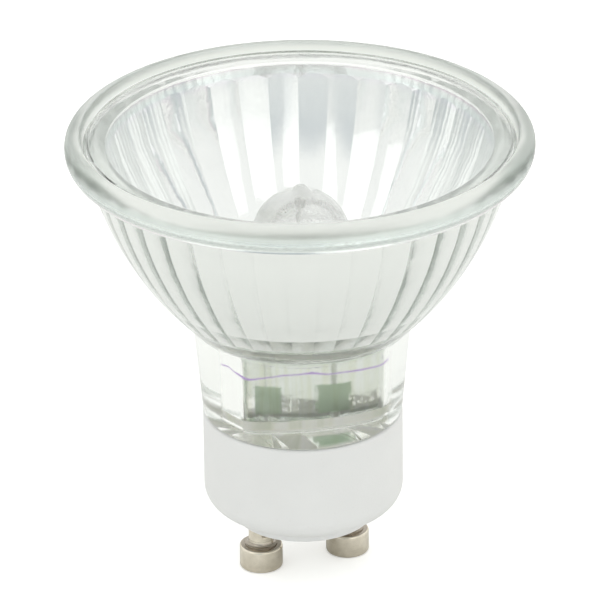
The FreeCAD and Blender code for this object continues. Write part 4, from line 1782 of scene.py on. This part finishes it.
@dataclass
class Studio:
    """Camera, pale floor, surroundings and lamps."""

    azimuth: float = -19.4
    elevation: float = 26.26
    distance: float = 700.0
    aim_height: float = 26.0
    focal_pixels: float = 6504.66
    image_pixels: float = 600.0
    shift_right: float = 2.12
    shift_down: float = 42.83
    roll: float = -0.653
    sensor: float = 36.0
    clip: Flat = (0.01, 20.0)
    bounces: int = 40
    floor_size: float = 3.0
    floor_drop: float = 0.02
    floor_colour: Colour = (0.94, 0.94, 0.93)
    floor_glow: float = 0.3
    # Painted shadow: in reflections the floor darkens from this colour at the lamp's axis to the floor's
    # colour at this reach.
    shade: Colour = (0.64, 0.63, 0.6)
    shade_reach: float = 10.0
    room: Colour = (1.06, 1.07, 1.05)
    gap: Colour = (0.5, 0.56, 0.6)
    gap_turn: float = -10.0
    gap_rise: float = 4.0
    gap_band: Flat = (0.85, 0.96)
    lamps: tuple[Softbox, ...] = (
        Softbox("right_softbox", 9.6, 20.0, (0.55, 0.75)),
        Softbox("left_softbox", -67.4, 40.0, (0.46, 0.58)),
    )

    def build(self) -> None:
        """Makes the stage."""
        scene = bpy.context.scene
        scene.view_settings.view_transform = "Standard"
        for kind in ("max", "transmission", "glossy"):
            setattr(scene.cycles, f"{kind}_bounces", self.bounces)
        scene.camera = self.camera()
        scene.world = self.surroundings()
        self.floor()
        for lamp in self.lamps:
            lamp.build(Vector((0.0, 0.0, self.aim_height * MM)))
        log.info("stage: camera, floor and %d lamps", len(self.lamps))

    def camera(self) -> bpy.types.Object:
        """Camera at the photograph's viewing angle.

        Returns:
            The camera.
        """
        ahead = -direction(self.azimuth, self.elevation)
        turn, roll = math.radians(self.azimuth), math.radians(self.roll)
        right = Vector((math.cos(turn), math.sin(turn), 0.0))
        up = right.cross(ahead)
        right, up = right * math.cos(roll) + up * math.sin(roll), up * math.cos(roll) - right * math.sin(roll)
        towards = ahead - right * (self.shift_right / self.focal_pixels)
        towards = (towards + up * (self.shift_down / self.focal_pixels)).normalized()
        side = towards.cross(up).normalized()
        data = bpy.data.cameras.new("camera")
        data.sensor_width = self.sensor
        data.lens = self.focal_pixels * self.sensor / self.image_pixels
        data.clip_start, data.clip_end = self.clip
        turned = Matrix((side, side.cross(towards), -towards)).transposed().to_4x4()
        turned.translation = (Vector((0.0, 0.0, self.aim_height)) - ahead * self.distance) * MM
        camera = link_object("camera", data)
        camera.matrix_world = turned
        return camera

    def surroundings(self) -> bpy.types.World:
        """White backdrop for the camera, an even pale room with a dimmer gap between the lamps for the rest.

        Returns:
            The world.
        """
        world = bpy.data.worlds.new("studio")
        world.use_nodes = True
        net = NodeTree(world.node_tree)
        net.tree.nodes.clear()
        way = net.add("ShaderNodeTexCoord").outputs["Generated"]
        gap = direction(self.azimuth + self.gap_turn, self.gap_rise)
        facing = net.add("ShaderNodeVectorMath", way, gap, operation="DOT_PRODUCT").outputs["Value"]
        room = net.mix(net.eased(facing, *self.gap_band), self.room, self.gap)
        around = net.get("ShaderNodeBackground", room)
        white = net.get("ShaderNodeBackground", (1.0, 1.0, 1.0))
        seen = net.add("ShaderNodeLightPath").outputs["Is Camera Ray"]
        net.add("ShaderNodeOutputWorld", net.get("ShaderNodeMixShader", seen, around, white))
        return world

    def floor(self) -> None:
        """Pale floor that keeps the lamp's shadow, shows white where it is seen, and in reflections darkens
        towards the lamp's axis with a painted shadow.
        """
        half = self.floor_size / 2
        corners = [(-half, -half), (half, -half), (half, half), (-half, half)]
        mesh = bpy.data.meshes.new("floor")
        mesh.from_pydata([(x, y, -self.floor_drop * MM) for x, y in corners], [], [(0, 1, 2, 3)])
        coat = Coat("pale_floor")
        path = coat.add("ShaderNodeLightPath").outputs
        # Painted shadow for glossy rays, darker towards the lamp's axis.
        away = coat.add("ShaderNodeVectorMath", coat.places(), operation="LENGTH").outputs["Value"]
        near = coat.math("DIVIDE", away, self.shade_reach * MM)
        painted_shadow_mirrored = coat.ramp(near, ((0.0, self.shade), (1.0, self.floor_colour)))
        tone = coat.mix(path["Is Glossy Ray"], self.floor_colour, painted_shadow_mirrored)
        coat.set(Base_Color=tone, Roughness=1.0, Specular_IOR_Level=0.0)
        strength = coat.math("MULTIPLY", path["Is Camera Ray"], self.floor_glow)
        glow = coat.get("ShaderNodeEmission", Strength=strength)
        coat.fill(coat.output, Surface=coat.get("ShaderNodeAddShader", coat.surface.outputs[0], glow))
        piece = new_piece("floor", mesh, (coat.material,))


REFLECTOR_GLASS = GlassFinish(
    "reflector_glass",
    tint=(0.84, 0.89, 0.84),
    roughness=0.12,
    ripple_scale=0.25,
    ripple_depth=0.03,
    colour=(0.985, 0.99, 0.975),
    lip=(0.89, 0.92, 0.88),
    lip_roughness=0.32,
    lip_band=(49.2, 49.7),
)
SLOT_GLASS = GlassFinish(
    "slot_glass",
    tint=(0.84, 0.89, 0.84),
    roughness=0.04,
    ripple_scale=2.2,
    ripple_depth=0.07,
    colour=(1.0, 0.99, 1.0),
    grain=Grain.STREAK,
    marked=(0.89, 0.885, 0.78),
)
COVER_GLASS = GlassFinish(
    "cover_glass", tint=(0.84, 0.92, 0.87), roughness=0.0, ripple_scale=0.1, ripple_depth=0.004
)
QUARTZ = GlassFinish(
    "quartz",
    tint=(0.9, 0.95, 0.93),
    roughness=0.0,
    ripple_scale=0.9,
    ripple_depth=0.14,
    depth_of_tint=1.0,
    index=1.44,
)
MIRROR_FILM = MirrorFilmFinish(
    "mirror_film",
    low=26.0,
    high=49.1,
    stops=(
        (0.0, (0.42, 0.28, 0.6)),
        (0.008, (0.5, 0.36, 0.66)),
        (0.03, (0.84, 0.855, 0.845)),
        (0.915, (0.84, 0.855, 0.845)),
        (0.935, (0.84, 0.83, 0.86)),
        (0.955, (0.82, 0.88, 0.87)),
        (0.98, (0.85, 0.86, 0.86)),
        (1.0, (0.68, 0.5, 0.62)),
    ),
    roughness=0.06,
)
CERAMIC = FiredFinish(
    "ceramic",
    colour=(0.77, 0.77, 0.76),
    shade=(0.73, 0.73, 0.72),
    speck=(0.64, 0.63, 0.61),
    roughness=0.55,
    grain_scale=4.0,
    grain_depth=0.02,
    specks=0.15,
)
CEMENT = FiredFinish(
    "cement",
    colour=(0.95, 0.94, 0.9),
    shade=(0.9, 0.89, 0.84),
    speck=(0.7, 0.66, 0.56),
    roughness=0.85,
    grain_scale=2.5,
    grain_depth=0.06,
    specks=0.4,
)
SMEAR = SmearFinish(
    "cement_smear",
    stops=((0.35, (0.74, 0.76, 0.64)), (0.5, (0.92, 0.92, 0.83)), (0.62, (0.98, 0.97, 0.93))),
    streaks=3.5,
)
TUNGSTEN = MetalFinish("tungsten", colour=(0.9, 0.9, 0.89), shade=(0.83, 0.82, 0.8), roughness=0.4)
LEAD_WIRE = MetalFinish("lead_wire", colour=(0.9, 0.9, 0.88), shade=(0.84, 0.83, 0.81), roughness=0.35)
FOIL = MetalFinish("foil", colour=(0.79, 0.9, 0.74), shade=(0.7, 0.82, 0.65), roughness=0.45)
ADHESIVE = SealFinish("adhesive", colour=(0.98, 0.99, 0.98), roughness=0.1)


def pin_finish(side: Side) -> MetalFinish:
    """Nickel plating of one pin, with the stain at its crimp and painted shade on its head's top face and
    collar.

    Args:
        side: which pin.

    Returns:
        The finish.
    """
    axis = side.value * LEVELS.pin_spacing / 2
    return MetalFinish(
        f"nickel_{side.word}",
        colour=(0.93, 0.87, 0.75),
        shade=(0.5, 0.45, 0.36),
        roughness=0.2,
        grain=Grain.TURNED,
        depth=0.012,
        rings=9.0,
        shift=axis,
        stain=(0.3, 0.22, 0.14),
        stain_place=(axis, -1.2, Pin.crimp_height),
        stain_reach=0.55,
        # Painted shade on the head's top face and collar, for the shaded ceramic they mirror.
        dull=(0.36, 0.32, 0.27),
        dull_band=(2.57, 3.1),
    )


def main() -> None:
    """Builds the lamp and its stage in order."""
    logging.basicConfig(level=logging.INFO, format="%(name)s: %(message)s")
    effects = Effects()
    finishes = (REFLECTOR_GLASS, MIRROR_FILM, SMEAR, SLOT_GLASS)
    Reflector(*(finish.material(effects) for finish in finishes)).build()
    Front(COVER_GLASS.material(effects), ADHESIVE.material(effects)).build()
    Capsule(QUARTZ.material(effects)).build()
    wiring = Wiring(*(finish.material(effects) for finish in (TUNGSTEN, LEAD_WIRE, FOIL)))
    base = Base(CERAMIC.material(effects), CEMENT.material(effects))
    for group in (wiring, base):
        group.build()
        group.dress()
    for side in Side:
        Pin(side, pin_finish(side).material(effects)).build()
    Studio().build()


if __name__ == "__main__":
    main()
